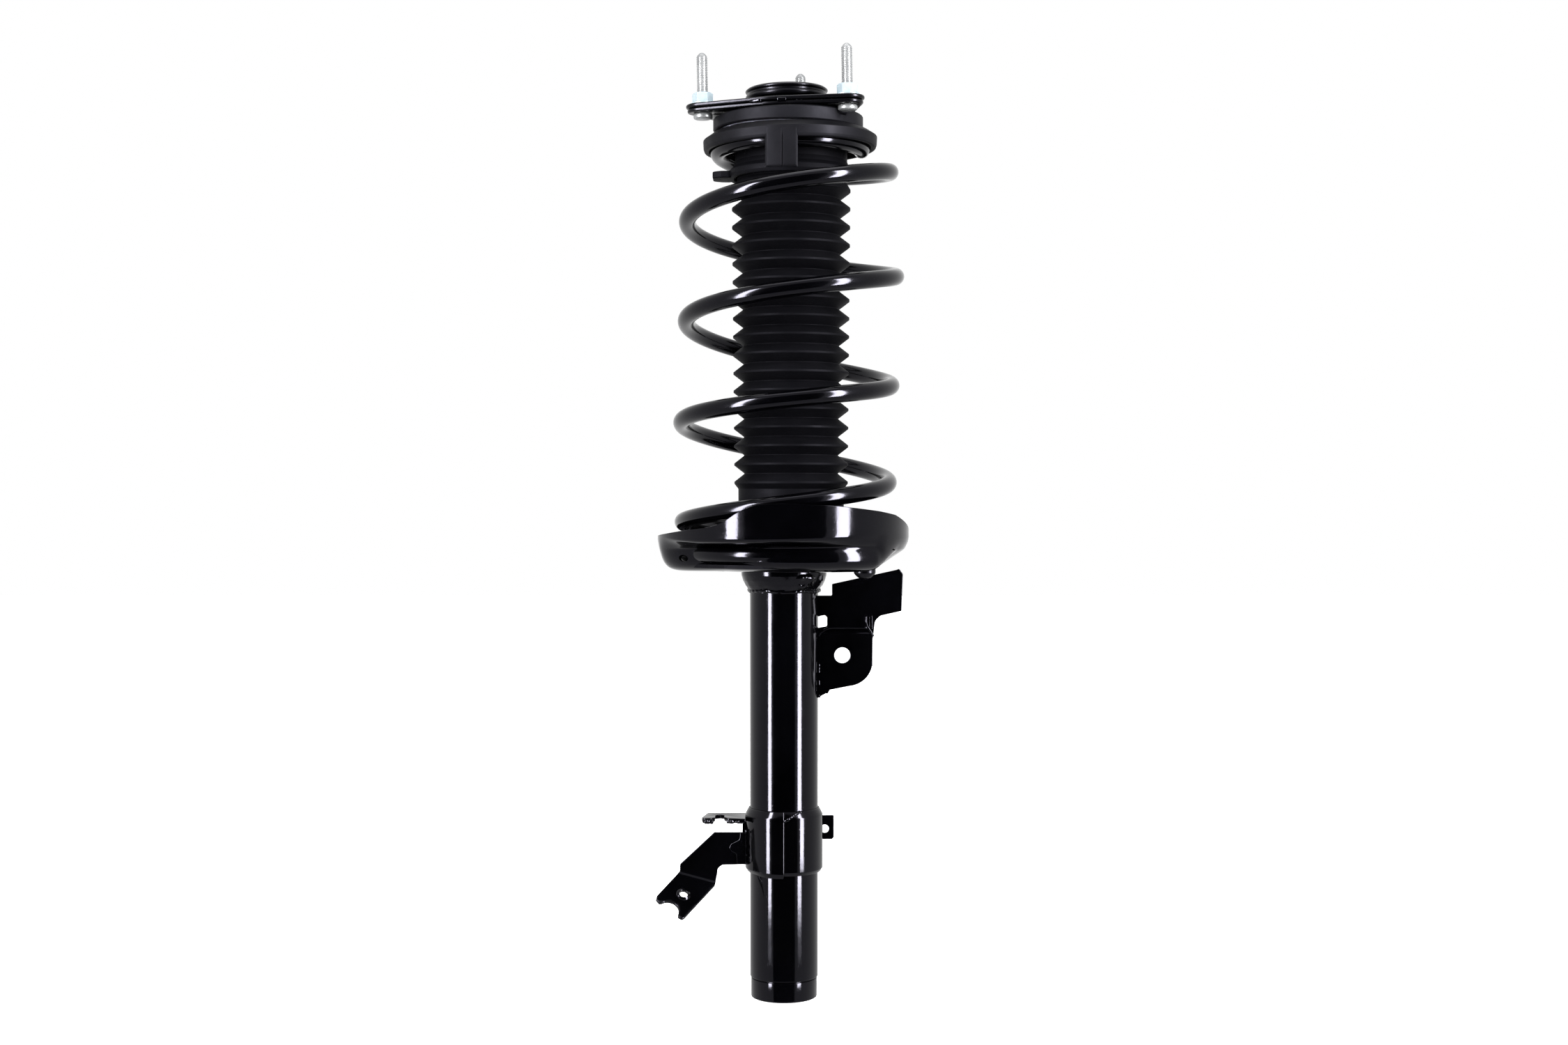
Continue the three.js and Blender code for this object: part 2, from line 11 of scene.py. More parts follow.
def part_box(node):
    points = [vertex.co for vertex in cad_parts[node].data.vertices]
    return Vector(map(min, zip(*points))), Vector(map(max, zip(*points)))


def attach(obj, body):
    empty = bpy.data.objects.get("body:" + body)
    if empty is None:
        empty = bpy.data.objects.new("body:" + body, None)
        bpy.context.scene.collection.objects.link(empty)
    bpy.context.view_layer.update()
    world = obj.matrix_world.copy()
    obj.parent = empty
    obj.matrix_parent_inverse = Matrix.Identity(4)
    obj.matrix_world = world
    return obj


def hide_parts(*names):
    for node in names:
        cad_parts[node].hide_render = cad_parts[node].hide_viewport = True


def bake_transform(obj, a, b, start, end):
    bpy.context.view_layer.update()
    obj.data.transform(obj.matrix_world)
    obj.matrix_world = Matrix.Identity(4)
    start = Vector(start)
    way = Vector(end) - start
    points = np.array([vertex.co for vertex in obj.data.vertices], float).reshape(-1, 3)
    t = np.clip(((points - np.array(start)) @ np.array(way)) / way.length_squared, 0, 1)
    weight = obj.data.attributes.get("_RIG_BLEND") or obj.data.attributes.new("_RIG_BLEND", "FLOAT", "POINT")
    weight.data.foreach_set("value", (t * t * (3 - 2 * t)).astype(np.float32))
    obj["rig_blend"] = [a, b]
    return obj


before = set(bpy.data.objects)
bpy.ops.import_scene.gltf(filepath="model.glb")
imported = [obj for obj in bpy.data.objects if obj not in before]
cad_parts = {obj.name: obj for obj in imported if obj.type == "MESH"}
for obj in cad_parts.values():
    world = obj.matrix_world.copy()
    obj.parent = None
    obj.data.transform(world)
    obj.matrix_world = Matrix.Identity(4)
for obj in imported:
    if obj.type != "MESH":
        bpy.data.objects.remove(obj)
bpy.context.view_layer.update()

MM = 0.001
STRUT, SEAT, MOUNT = "strut_body", "spring_seat", "top_mount"

# ---- sizes, in millimetres


def span(node):
    """Lowest and highest corner of a CAD node, in millimetres."""
    low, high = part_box(node)
    return [c / MM for c in low], [c / MM for c in high]


def heights(node):
    """Bottom and top of a CAD node, in millimetres."""
    low, high = span(node)
    return low[2], high[2]


_, (TUBE_R, _, TUBE_TOP) = span("outer_tube")
FOOT_R = TUBE_R - 0.8
FOOT_H = 14.8
TUBE_WALL = 2.6

(seat_left, _, SEAT_FLOOR), (seat_right, SEAT_R, _) = span("lower_spring_seat")
SEAT_SHIFT = (seat_right + seat_left) / 2
SEAT_SHEET = 2.6

(bellows_left, _, _), (bellows_right, _, _) = span("dust_bellows")
BELLOWS_X = (bellows_right + bellows_left) / 2
FOLDS = 17
FIRST_FOLD = 376.4
FOLD_PITCH = 13.3

WIRE_R = 6.15
HEAD_SHIFT = 4.5  # the coil's top and the upper seat's lip sit to the right of the rod
LIP_R = 63.5
LIP_HEIGHT = 13.1
UPPER_TOP = heights("upper_spring_seat")[1]
COVER_R = 54.7
COVER_SHIFT = 3
COVER_BOTTOM, COVER_TOP = heights("bearing_cover")

PLATE_BOTTOM, PLATE_TOP = heights("mount_plate_lower")[0], heights("mount_plate_upper")[1]
PLATE_SHEET = 2.9
LOBE_R = 12.1
STUD_CIRCLE = 61.3
STUD_ANGLES = (-42.5, 77.5, 197.5)
STUD_HEAD_CLEAR = 7.3
STUD_R = 4
STUD_HEAD, STUD_TOP = heights("stud_1")
CAP_BOTTOM, CAP_TOP = heights("mount_cap")
CAP_SHIFT = 2.2  # the cap's rim sits to the right of the rod
ROD_NUT_BOTTOM = heights("rod_nut")[0]

SLEEVE_R = span("locator_sleeve")[1][0]
SLEEVE_BOTTOM, SLEEVE_TOP = heights("locator_sleeve")
SLEEVE_SEAM = -90  # angle of the sleeve's joint, at its front
BRACKET_ROOT = 0.6 - SLEEVE_R  # the left brackets start just inside the sleeve's wall

# ---- mesh helpers


def polar(deg, r):
    return r * cos(radians(deg)), r * sin(radians(deg))


def arc(cx, cy, r, start, end, steps):
    """Points along a circular arc, both ends included."""
    turn = [start + (end - start) * i / steps for i in range(steps + 1)]
    return [(cx + polar(a, r)[0], cy + polar(a, r)[1]) for a in turn]


def smooth(start, end, value):
    t = min(1.0, max(0.0, (value - start) / (end - start)))
    return t * t * (3 - 2 * t)


def between(knots, value):
    """The value of a broken line through (at, value) knots."""
    if value <= knots[0][0]:
        return knots[0][1]
    for (a, p), (b, q) in zip(knots, knots[1:]):
        if value <= b:
            return p + (q - p) * (value - a) / (b - a)
    return knots[-1][1]


def rounded(points, radius=0.6, steps=4):
    """A closed outline with rounded corners. A point may carry a radius of its own as a third number."""
    out = []
    for i, point in enumerate(points):
        here = Vector(point[:2])
        back = Vector(points[i - 1][:2]) - here
        ahead = Vector(points[(i + 1) % len(points)][:2]) - here
        limit = 0.45 * min(back.length, ahead.length)
        back.normalize()
        ahead.normalize()
        half = acos(max(-1.0, min(1.0, back.dot(ahead)))) / 2
        own = point[2] if len(point) > 2 else radius
        if own <= 0 or half > radians(86):
            out.append(tuple(here))
            continue
        reach = min(own / tan(half), limit)
        first, last = here + back * reach, here + ahead * reach
        for k in range(steps + 1):
            t = k / steps
            p = first * (1 - t) ** 2 + here * (2 * t * (1 - t)) + last * t**2
            out.append(tuple(p))
    return out


def finish_mesh(mesh, sharp=38):
    bm = bmesh.new()
    bm.from_mesh(mesh)
    bmesh.ops.remove_doubles(bm, verts=bm.verts, dist=1e-6)
    bmesh.ops.recalc_face_normals(bm, faces=bm.faces)
    bm.to_mesh(mesh)
    bm.free()
    mesh.shade_smooth()
    mesh.set_sharp_from_angle(angle=radians(sharp))


def new_object(name, data):
    """An object in the scene, made from a mesh, curve, light or camera."""
    obj = bpy.data.objects.new(name, data)
    bpy.context.scene.collection.objects.link(obj)
    return obj


def baked(obj, *cutters):
    """The mesh that a curve or a modified object gives; the objects themselves go."""
    bpy.context.view_layer.update()
    graph = bpy.context.evaluated_depsgraph_get()
    mesh = bpy.data.meshes.new_from_object(obj.evaluated_get(graph))
    for item in (obj, *cutters):
        bpy.data.objects.remove(item)
    return mesh


def place(name, mesh, material, body, nodes=(), sharp=38):
    """Puts a finished mesh, built in millimetres, on its CAD body as a piece."""
    mesh.transform(Matrix.Scale(MM, 4))
    finish_mesh(mesh, sharp)
    obj = new_object(name, mesh)
    mesh.materials.append(material)
    if body:
        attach(obj, body)
    if nodes:
        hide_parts(*nodes)
    return obj


def place_weld(name, mesh, nodes=()):
    """Puts a weld, or another small lump of thick paint, on the strut's body."""
    place(name, mesh, PAINT_WELD, STRUT, nodes, sharp=60)


def moved(mesh, x=0, y=0, z=0):
    mesh.transform(Matrix.Translation((x, y, z)))
    return mesh


def stood(mesh, y):
    """Stands a flat sheet up to face the front: its X and Y become X and Z, and it reaches back to y."""
    mesh.transform(Matrix.Rotation(radians(90), 4, "X"))
    return moved(mesh, y=y)


def sideways(mesh, x):
    """Stands a flat sheet up to face sideways: its X and Y become Y and Z, and it starts at x."""
    mesh.transform(Matrix(((0, 0, 1, x), (1, 0, 0, 0), (0, 1, 0, 0), (0, 0, 0, 1))))
    return mesh


def mesh_of(name, verts, faces):
    mesh = bpy.data.meshes.new(name)
    mesh.from_pydata([tuple(v) for v in verts], [], faces)
    return mesh


def grid_faces(rows, columns, wrap_rows=True, wrap_columns=True):
    """Quads over a rows by columns grid of vertices."""
    faces = []
    for i in range(rows if wrap_rows else rows - 1):
        for j in range(columns if wrap_columns else columns - 1):
            a = i * columns + j
            b = i * columns + (j + 1) % columns
            c = ((i + 1) % rows) * columns + (j + 1) % columns
            d = ((i + 1) % rows) * columns + j
            faces.append((a, b, c, d))
    return faces


def turned_mesh(name, profile, segments=128, shift=(0, 0), form=None):
    """A closed profile of (radius, height) turned about an upright axis. form may move each point."""
    verts = []
    for r, z in profile:
        for j in range(segments):
            x, y = polar(360 * j / segments, r)
            point = (x + shift[0], y + shift[1], z)
            verts.append(form(*point) if form else point)
    return mesh_of(name, verts, grid_faces(len(profile), segments))


def swept_mesh(name, path, radius, sides=20):
    """A round bar along a path, its ends closed by small rounded caps."""
    verts = []
    rings = []
    count = len(path)
    upright = abs((path[1] - path[0]).normalized().z) > 0.9
    side = Vector((1, 0, 0)) if upright else Vector((0, 0, 1))
    cap = [(-1.0, 0.0), (-0.97, 0.45), (-0.8, 0.8), (-0.45, 0.97)]
    stations = [(0, a, b) for a, b in cap] + [(i, 0.0, 1.0) for i in range(1, count - 1)]
    stations += [(count - 1, -a, b) for a, b in reversed(cap)]
    for i, along, share in stations:
        ahead = (path[min(i + 1, count - 1)] - path[max(i - 1, 0)]).normalized()
        side = (side - ahead * side.dot(ahead)).normalized()
        other = ahead.cross(side)
        centre = path[i] + ahead * (along * radius * 0.5)
        ring = []
        for k in range(sides):
            c, s = polar(360 * k / sides, radius * share)
            ring.append(centre + side * c + other * s)
        rings.append(i)
        verts += ring
    mesh = mesh_of(name, verts, grid_faces(len(stations), sides, wrap_rows=False))
    return mesh, rings


def plate_mesh(name, outline, holes=(), thickness=2.6, edge=0.35, cuts=(), form=None):
    """A flat sheet in X and Y with rounded edges, from z 0 up.

    cuts are (point, direction) lines that split the faces, so that form can bend the sheet along them.
    """
    curve = bpy.data.curves.new(name, "CURVE")
    curve.dimensions = "2D"
    curve.fill_mode = "BOTH"
    for ring in [outline, *(hole[::-1] for hole in holes)]:
        spline = curve.splines.new("POLY")
        spline.points.add(len(ring) - 1)
        for point, (x, y) in zip(spline.points, ring):
            point.co = (x, y, 0, 1)
        spline.use_cyclic_u = True
    curve.extrude = thickness / 2 - edge
    curve.bevel_depth = edge
    curve.bevel_resolution = 2
    curve.offset = -edge
    mesh = baked(new_object(name + "_maker", curve))
    bpy.data.curves.remove(curve)
    mesh.name = name
    moved(mesh, z=thickness / 2)
    bm = bmesh.new()
    bm.from_mesh(mesh)
    bmesh.ops.remove_doubles(bm, verts=bm.verts, dist=1e-3)
    for (x, y), (dx, dy) in cuts:
        everything = bm.verts[:] + bm.edges[:] + bm.faces[:]
        bmesh.ops.bisect_plane(bm, geom=everything, plane_co=(x, y, 0), plane_no=(-dy, dx, 0), dist=1e-4)
    if form:
        for v in bm.verts:
            v.co = form(v.co)
    bm.to_mesh(mesh)
    bm.free()
    return mesh


def straight(start, end, steps):
    """Points along a straight line, both ends included."""
    return [Vector(start).lerp(Vector(end), k / steps) for k in range(steps + 1)]


def joined(name, *meshes):
    """One mesh of several."""
    bm = bmesh.new()
    for mesh in meshes:
        bm.from_mesh(mesh)
    out = bpy.data.meshes.new(name)
    bm.to_mesh(out)
    bm.free()
    return out


def bead_mesh(name, path, radius, seed, sides=10, ripple=2.4, rough=0.35):
    """A weld bead: a bar along a path whose thickness swells and sags from drop to drop."""
    mesh, rings = swept_mesh(name, path, 1.0, sides)
    origin = Vector((seed * 17.3, seed * 5.1, seed * 2.7))
    lengths = [0.0]
    for a, b in zip(path, path[1:]):
        lengths.append(lengths[-1] + (b - a).length)
    for n, i in enumerate(rings):
        drop = abs(sin(pi * lengths[i] / ripple))
        for k in range(sides):
            v = mesh.vertices[n * sides + k]
            out = v.co - path[i]
            lump = 1 + rough * noise.noise(path[i] * 0.35 + origin) + 0.22 * drop
            lump += 0.5 * rough * noise.noise(v.co * 0.8 + origin)
            v.co = path[i] + out * radius * lump
    return mesh


# ---- materials


class Nodes:
    """A short way to lay out one material's nodes."""

    def __init__(self, name):
        self.material = bpy.data.materials.new(name)
        self.material.use_nodes = True
        self.tree = self.material.node_tree
        self.shader = self.tree.nodes["Principled BSDF"]
        self.place = self.add("ShaderNodeTexCoord").outputs["Object"]

    def add(self, kind, **settings):
        node = self.tree.nodes.new(kind)
        for key, value in settings.items():
            setattr(node, key, value)
        return node

    def link(self, a, b):
        self.tree.links.new(a, b)

    def value(self, socket, number):
        self.shader.inputs[socket].default_value = number

    def noise(self, scale, detail=3, stretch=(1, 1, 1), roughness=0.55):
        mapping = self.add("ShaderNodeMapping")
        mapping.inputs["Scale"].default_value = stretch
        self.link(self.place, mapping.inputs["Vector"])
        node = self.add("ShaderNodeTexNoise")
        for socket, number in (("Scale", scale), ("Detail", detail), ("Roughness", roughness)):
            node.inputs[socket].default_value = number
        self.link(mapping.outputs["Vector"], node.inputs["Vector"])
        return node.outputs["Fac"]

    def colour(self, factor, low, high, start=0.3, end=0.7):
        """Base colour, from low to high along the factor."""
        node = self.add("ShaderNodeValToRGB")
        for element, at, tone in zip(node.color_ramp.elements, (start, end), (low, high)):
            element.position = at
            element.color = (*tone, 1)
        self.link(factor, node.inputs["Fac"])
        self.link(node.outputs["Color"], self.shader.inputs["Base Color"])

    def spread(self, factor, low, high, start=0.3, end=0.7):
        """The factor's start to end, stretched over low to high."""
        node = self.add("ShaderNodeMapRange")
        for socket, number in (("From Min", start), ("From Max", end), ("To Min", low), ("To Max", high)):
            node.inputs[socket].default_value = number
        self.link(factor, node.inputs["Value"])
        return node.outputs["Result"]

    def roughness(self, factor, low, high):
        self.link(self.spread(factor, low, high), self.shader.inputs["Roughness"])

    def shine(self, level):
        """The faint violet shine of the black coatings."""
        self.value("Specular IOR Level", level)
        self.value("Specular Tint", COOL)

    def bump(self, heights):
        """Chains bumps of (height output, strength, distance in metres) into the shader's normal."""
        last = None
        for height, strength, distance in heights:
            node = self.add("ShaderNodeBump")
            node.inputs["Strength"].default_value = strength
            node.inputs["Distance"].default_value = distance
            self.link(height, node.inputs["Height"])
            if last:
                self.link(last, node.inputs["Normal"])
            last = node.outputs["Normal"]
        self.link(last, self.shader.inputs["Normal"])


COOL = (0.86, 0.84, 1, 1)


def shade(tone, grey, blue):
    """A dark colour: a share of the tone in red and green, and another in blue."""
    return tone * grey, tone * grey, tone * blue


def gloss_black(name, seed, rough=0.07, peel=0.1):
    """Black dip coat: faint colour drift, orange peel and a few fine dust specks."""
    n = Nodes(name)
    n.colour(n.noise(9 + seed, 3), (0.00005, 0.00005, 0.00008), (0.00025, 0.00025, 0.0004))
    n.roughness(n.noise(55 + seed, 4), rough, rough + 0.05)
    n.shine(0.17)
    speck = n.spread(n.noise(900, 1), 0, 1, 0.72, 0.8)
    n.bump([(n.noise(210, 2), peel, 0.0002), (speck, 0.08, 0.00015)])
    return n.material


def rubber_black(name, seed, tone=0.0006):
    """Moulded rubber: a dull bloom in patches, fine pores and mould grain."""
    n = Nodes(name)
    n.colour(n.noise(14 + seed, 5), shade(tone, 0.7, 0.95), shade(tone, 1.5, 2), end=0.72)
    n.roughness(n.noise(60, 4), 0.5, 0.68)
    n.shine(0.035)
    n.bump([(n.noise(1400, 2), 0.25, 0.00008), (n.noise(120, 4), 0.2, 0.0003)])
    return n.material


def plastic_black(name, seed, tone=0.001):
    """Moulded glass-filled plastic: flow streaks, spark texture and soft shine."""
    n = Nodes(name)
    streak = n.noise(22 + seed, 5, stretch=(1, 1, 0.25))
    n.colour(streak, shade(tone, 0.8, 1), shade(tone, 1.5, 1.9), end=0.75)
    n.roughness(n.noise(80, 4), 0.42, 0.58)
    n.shine(0.055)
    n.bump([(n.noise(1100, 3), 0.22, 0.0001), (n.noise(160, 3), 0.15, 0.00025)])
    return n.material


def metal(name, low, high, roughness, seed, scratch=(1, 1, 14), strength=0.15, metallic=1.0):
    """Bare or plated metal: mottled tone, directional marks and uneven polish."""
    n = Nodes(name)
    mottle = n.noise(40 + seed, 5)
    n.colour(mottle, low, high)
    n.value("Metallic", metallic)
    marks = n.noise(260, 4, stretch=scratch)
    n.roughness(marks, roughness * 0.75, roughness * 1.3)
    n.bump([(marks, strength, 0.00012), (mottle, 0.1, 0.0004)])
    return n.material


def foam_yellow(name):
    """Polyurethane foam: an open-celled skin with pits, and painted shade that darkens each pit."""
    n = Nodes(name)
    cells = n.add("ShaderNodeTexVoronoi")
    cells.inputs["Scale"].default_value = 900
    n.link(n.place, cells.inputs["Vector"])
    pits_and_shade = cells.outputs["Distance"]
    # painted shade: the colour darkens towards the middle of each pit, where the bump sinks deepest
    n.colour(pits_and_shade, (0.3, 0.22, 0.09), (0.6, 0.48, 0.24), 0.05, 0.45)
    n.roughness(n.noise(60, 3), 0.7, 0.9)
    n.bump([(pits_and_shade, 0.5, 0.0003)])
    return n.material


PAINT = gloss_black("paint_tube", 0)
PAINT_SEAT = gloss_black("paint_seat", 3, rough=0.06, peel=0.12)
PAINT_COIL = gloss_black("paint_coil", 5, rough=0.1, peel=0.08)
PAINT_PLATE = gloss_black("paint_plate", 7, rough=0.24, peel=0.2)
PAINT_SHEET = gloss_black("paint_sheet", 9, rough=0.1, peel=0.12)
PAINT_WELD = gloss_black("paint_weld", 11, rough=0.08, peel=0.3)
RUBBER = rubber_black("bellows_rubber", 0)
RUBBER_SOFT = rubber_black("insulator_rubber", 4, tone=0.0008)
PLASTIC = plastic_black("seat_plastic", 0)
PLASTIC_COVER = plastic_black("cover_plastic", 6, tone=0.0016)
ZINC = metal("zinc_nut", (0.17, 0.215, 0.24), (0.27, 0.32, 0.35), 0.36, 0, metallic=0.6)
ZINC_STUD = metal("zinc_stud", (0.12, 0.123, 0.126), (0.2, 0.203, 0.206), 0.34, 4, metallic=0.7)
CHROME = metal("rod_chrome", (0.7, 0.71, 0.73), (0.82, 0.83, 0.85), 0.08, 6, strength=0.03)
STEEL = metal("turned_steel", (0.32, 0.33, 0.35), (0.5, 0.51, 0.53), 0.32, 8)
ALLOY = metal("cast_alloy", (0.5, 0.51, 0.53), (0.66, 0.67, 0.69), 0.42, 10, scratch=(1, 1, 1))
FOAM = foam_yellow("bump_foam")
RESIN = plastic_black("bearing_resin", 9, tone=0.25)

# ---- damper tube


def make_tube():
    bore = TUBE_R - TUBE_WALL
    groove = FOOT_R - 0.7
    mouth = 18  # radius of the rolled top's opening
    profile = rounded([
        (bore, 0, 0.3), (FOOT_R, 0, 1.4), (FOOT_R, FOOT_H - 0.9), (groove, FOOT_H - 0.5),
        (groove, FOOT_H - 0.1), (TUBE_R, FOOT_H + 0.6, 0.5), (TUBE_R, TUBE_TOP - 2, 2.4),
        (mouth, TUBE_TOP, 0.6), (mouth, TUBE_TOP - 2, 0.4), (bore, TUBE_TOP - 2.3),
    ], 0.2)
    piece = 12  # long walls are split into pieces about this long
    tall = []
    for (r0, z0), (r1, z1) in zip(profile, profile[1:] + profile[:1]):
        steps = max(1, int(abs(z1 - z0) / piece))
        tall += [(r0 + (r1 - r0) * k / steps, z0 + (z1 - z0) * k / steps) for k in range(steps)]
    mesh = turned_mesh("tube", tall, 160)
    place("tube", mesh, PAINT, STRUT, ["outer_tube"])
    cup = rounded([(0.01, 0), (22.1, 0, 1), (22.1, 9), (19.5, 9), (18, 4), (0.01, 4)], 0.5)
    cup = [(max(0, r), z) for r, z in cup]
    place("tube_base", turned_mesh("tube_base", cup, 96), PAINT_PLATE, STRUT, ["base_cup"])


# ---- weld collar under the lower seat


COLLAR_BOTTOM = 296.4
COLLAR_NECK = 309  # height where the collar reaches its full radius


def make_collar():
    top = SEAT_FLOOR - 0.3
    bore = 25.3
    profile = rounded([
        (bore, COLLAR_BOTTOM), (26, COLLAR_BOTTOM - 0.2, 0.3), (26.3, 299, 1.5), (28.2, 301.5, 2),
        (30, 305, 4), (31.2, COLLAR_NECK, 3), (31.3, top, 0.3), (bore, top),
    ], 0.5)

    def lumpy(x, y, z):
        """The weld at the collar's foot is uneven, and fades out towards its neck."""
        low = 1 - smooth(298, COLLAR_NECK, z)
        lump = 1 + 0.03 * low * noise.noise(Vector((x, y, z)) * 0.2)
        return x * lump, y * lump, z + 0.7 * low * noise.noise(Vector((x, y, 3.7)) * 0.16)

    mesh = turned_mesh("collar", profile, 160, form=lumpy)
    place_weld("seat_collar_fine", mesh, ["seat_collar"])
    ring = []
    for i in range(181):
        deg = 2 * i
        wave = 0.7 * noise.noise(Vector((cos(radians(deg)), sin(radians(deg)), 0.3)) * 1.9)
        x, y = polar(deg, 25.5 + 0.3 * wave)
        ring.append(Vector((x, y, COLLAR_BOTTOM + 1.2 + wave)))
    bead = bead_mesh("collar_weld", ring, 1.15, 2, sides=14, ripple=4.2, rough=0.25)
    place_weld("collar_weld", bead)
    place_weld("collar_blob", weld_blob())


def weld_blob():
    """The patch where the weld's end was filled: an uneven mound at the front right of the collar."""
    middle, half_width = -57, 19  # angles
    centre, half_height = 304.5, 6.8

    def spot(front, u, v):
        u, v = 2 * u - 1, 2 * v - 1
        deg, z = middle + half_width * u, centre + half_height * v
        mound = (1 - u * u) * (1 - v * v)
        at = Vector((*polar(deg, 30), z))
        lump = 0.8 + 0.9 * noise.noise(at * 0.17) + 0.16 * noise.noise(at * 0.4)
        collar = 26.4 + 4.8 * smooth(297, COLLAR_NECK, z)
        return (*polar(deg, collar - 0.9 + 4 * mound * lump if front else collar - 1.8), z)

    return shell_mesh("collar_blob", 40, 56, spot)


def shell_mesh(name, rows, columns, spot):
    """A closed sheet. spot(front, u, v) is a point of its front or its back, with u and v from 0 to 1."""
    grid = [(j / columns, i / rows) for i in range(rows + 1) for j in range(columns + 1)]
    verts = [spot(front, u, v) for front in (True, False) for u, v in grid]
    per = len(grid)
    faces = []
    for i in range(rows):
        for j in range(columns):
            a = i * (columns + 1) + j
            quad = (a, a + 1, a + columns + 2, a + columns + 1)
            faces.append(quad)
            faces.append(tuple(per + k for k in reversed(quad)))
    border = list(range(columns + 1))
    border += [i * (columns + 1) + columns for i in range(1, rows + 1)]
    border += [rows * (columns + 1) + j for j in range(columns - 1, -1, -1)]
    border += [i * (columns + 1) for i in range(rows - 1, 0, -1)]
    for a, b in zip(border, border[1:] + border[:1]):
        faces.append((b, a, per + a, per + b))
    return mesh_of(name, verts, faces)


# ---- lower spring seat

# The rim's height by angle: low at the left, high across the front, falling away at the right.
RIM_HEIGHTS = [
    (-180, 337.1), (-158, 339.6), (-143, 341.9), (-128, 344.3), (-122, 346.3), (-117.5, 349), (-113, 353.6),
    (-109, 357), (-105, 359.4), (-100, 360.6), (-90, 361.1), (-66, 359.4), (-42, 355.7), (-30, 353.2),
    (-17.5, 347.8), (-6, 342.8), (6, 341.2), (40, 341), (120, 341), (180, 337.1),
]
# The spring channel is round too, but its centre lies to the right of the dish's own.
CHANNEL_R = 81
CHANNEL_SHIFT = 12.5
SEAT_HOLE = 25.6  # radius of the hole round the tube


def channel_share(deg):
    """1 across the front, where the coil's end lies in its low channel, 0 round the back."""
    return smooth(-170, -128, deg) * (1 - smooth(-44.5, -37, deg))


def floor_lift(deg):
    """The floor rises past the end of the channel, and comes down again round the back."""
    return 13.5 * smooth(-45, -22, deg) * (1 - smooth(110, 165, deg))


def seat_profile(deg):
    """Outer face of the dish at one angle, from its tube hole to its rim, as (radius, height)."""
    share = channel_share(deg)
    lift = floor_lift(deg)
    f = SEAT_FLOOR
    across, ahead = polar(deg, CHANNEL_SHIFT)
    reach = across + sqrt(CHANNEL_R**2 - ahead**2)
    drop = 0.1 * (CHANNEL_R - reach)
    rim = between(RIM_HEIGHTS, deg)
    plain = [
        (SEAT_HOLE, f), (36, f), (50, f), (62, f + 0.05 * lift), (70, f + 0.3 * lift),
        (78.5, f + 0.4 + 0.7 * lift), (84, f + 2 + 0.85 * lift), (87, f + 5 + 0.8 * lift),
        (88.6, f + 9 + 0.7 * lift), (89.6, f + 14.6 + 0.45 * lift), (90.1, f + 18.4 + 0.3 * lift),
        (SEAT_R, min(337, rim - 2.6)),
    ]
    shoulder = 0.35 * SEAT_R + 0.65 * (reach - 0.8)
    bulged = [
        (SEAT_HOLE, f), (36, f), (48, f), (reach - 20, f + 0.5), (reach - 11, f + 1.2), (reach - 4.5, f + 3),
        (reach - 0.9, f + 6.6), (reach, f + 10.4), (reach - 0.5, f + 14.6), (reach - 1.4, f + 18.2),
        (shoulder, 332.6 - drop), (SEAT_R - 0.5, 336 - 2 * drop),
    ]
    foot = [(a + (b - a) * share, p + (q - p) * share) for (a, p), (b, q) in zip(plain, bulged)]
    base = min(341, 0.5 * (foot[-1][1] + rim))
    wall = [(SEAT_R, base + (rim - base) * t) for t in (0, 0.3, 0.6, 0.85, 1.0)]
    flare = 2.6 * smooth(120, 172, abs(deg))
    return [(r + flare * smooth(312, 337, z) ** 0.6 * smooth(60, 84, r), z) for r, z in foot + wall]


def spline_row(points, steps):
    """A smooth row through the points, with steps pieces between each two."""
    out = []
    last = len(points) - 1
    for i in range(last):
        p0, p1 = points[max(i - 1, 0)], points[i]
        p2, p3 = points[i + 1], points[min(i + 2, last)]
        for k in range(steps):
            t = k / steps
            point = []
            for a, b, c, d in zip(p0, p1, p2, p3):
                curve = 2 * b + (c - a) * t + (2 * a - 5 * b + 4 * c - d) * t * t
                point.append(0.5 * (curve + (3 * b - a - 3 * c + d) * t**3))
            out.append(tuple(point))
    out.append(points[-1])
    return out


def offset_row(row, thickness):
    """The row moved sideways by the sheet's thickness, towards the inside of the dish."""
    out = []
    last = len(row) - 1
    for i, (r, z) in enumerate(row):
        ahead = Vector(row[min(i + 1, last)]) - Vector(row[max(i - 1, 0)])
        ahead.normalize()
        out.append((r - ahead.y * thickness, z + ahead.x * thickness))
    return out


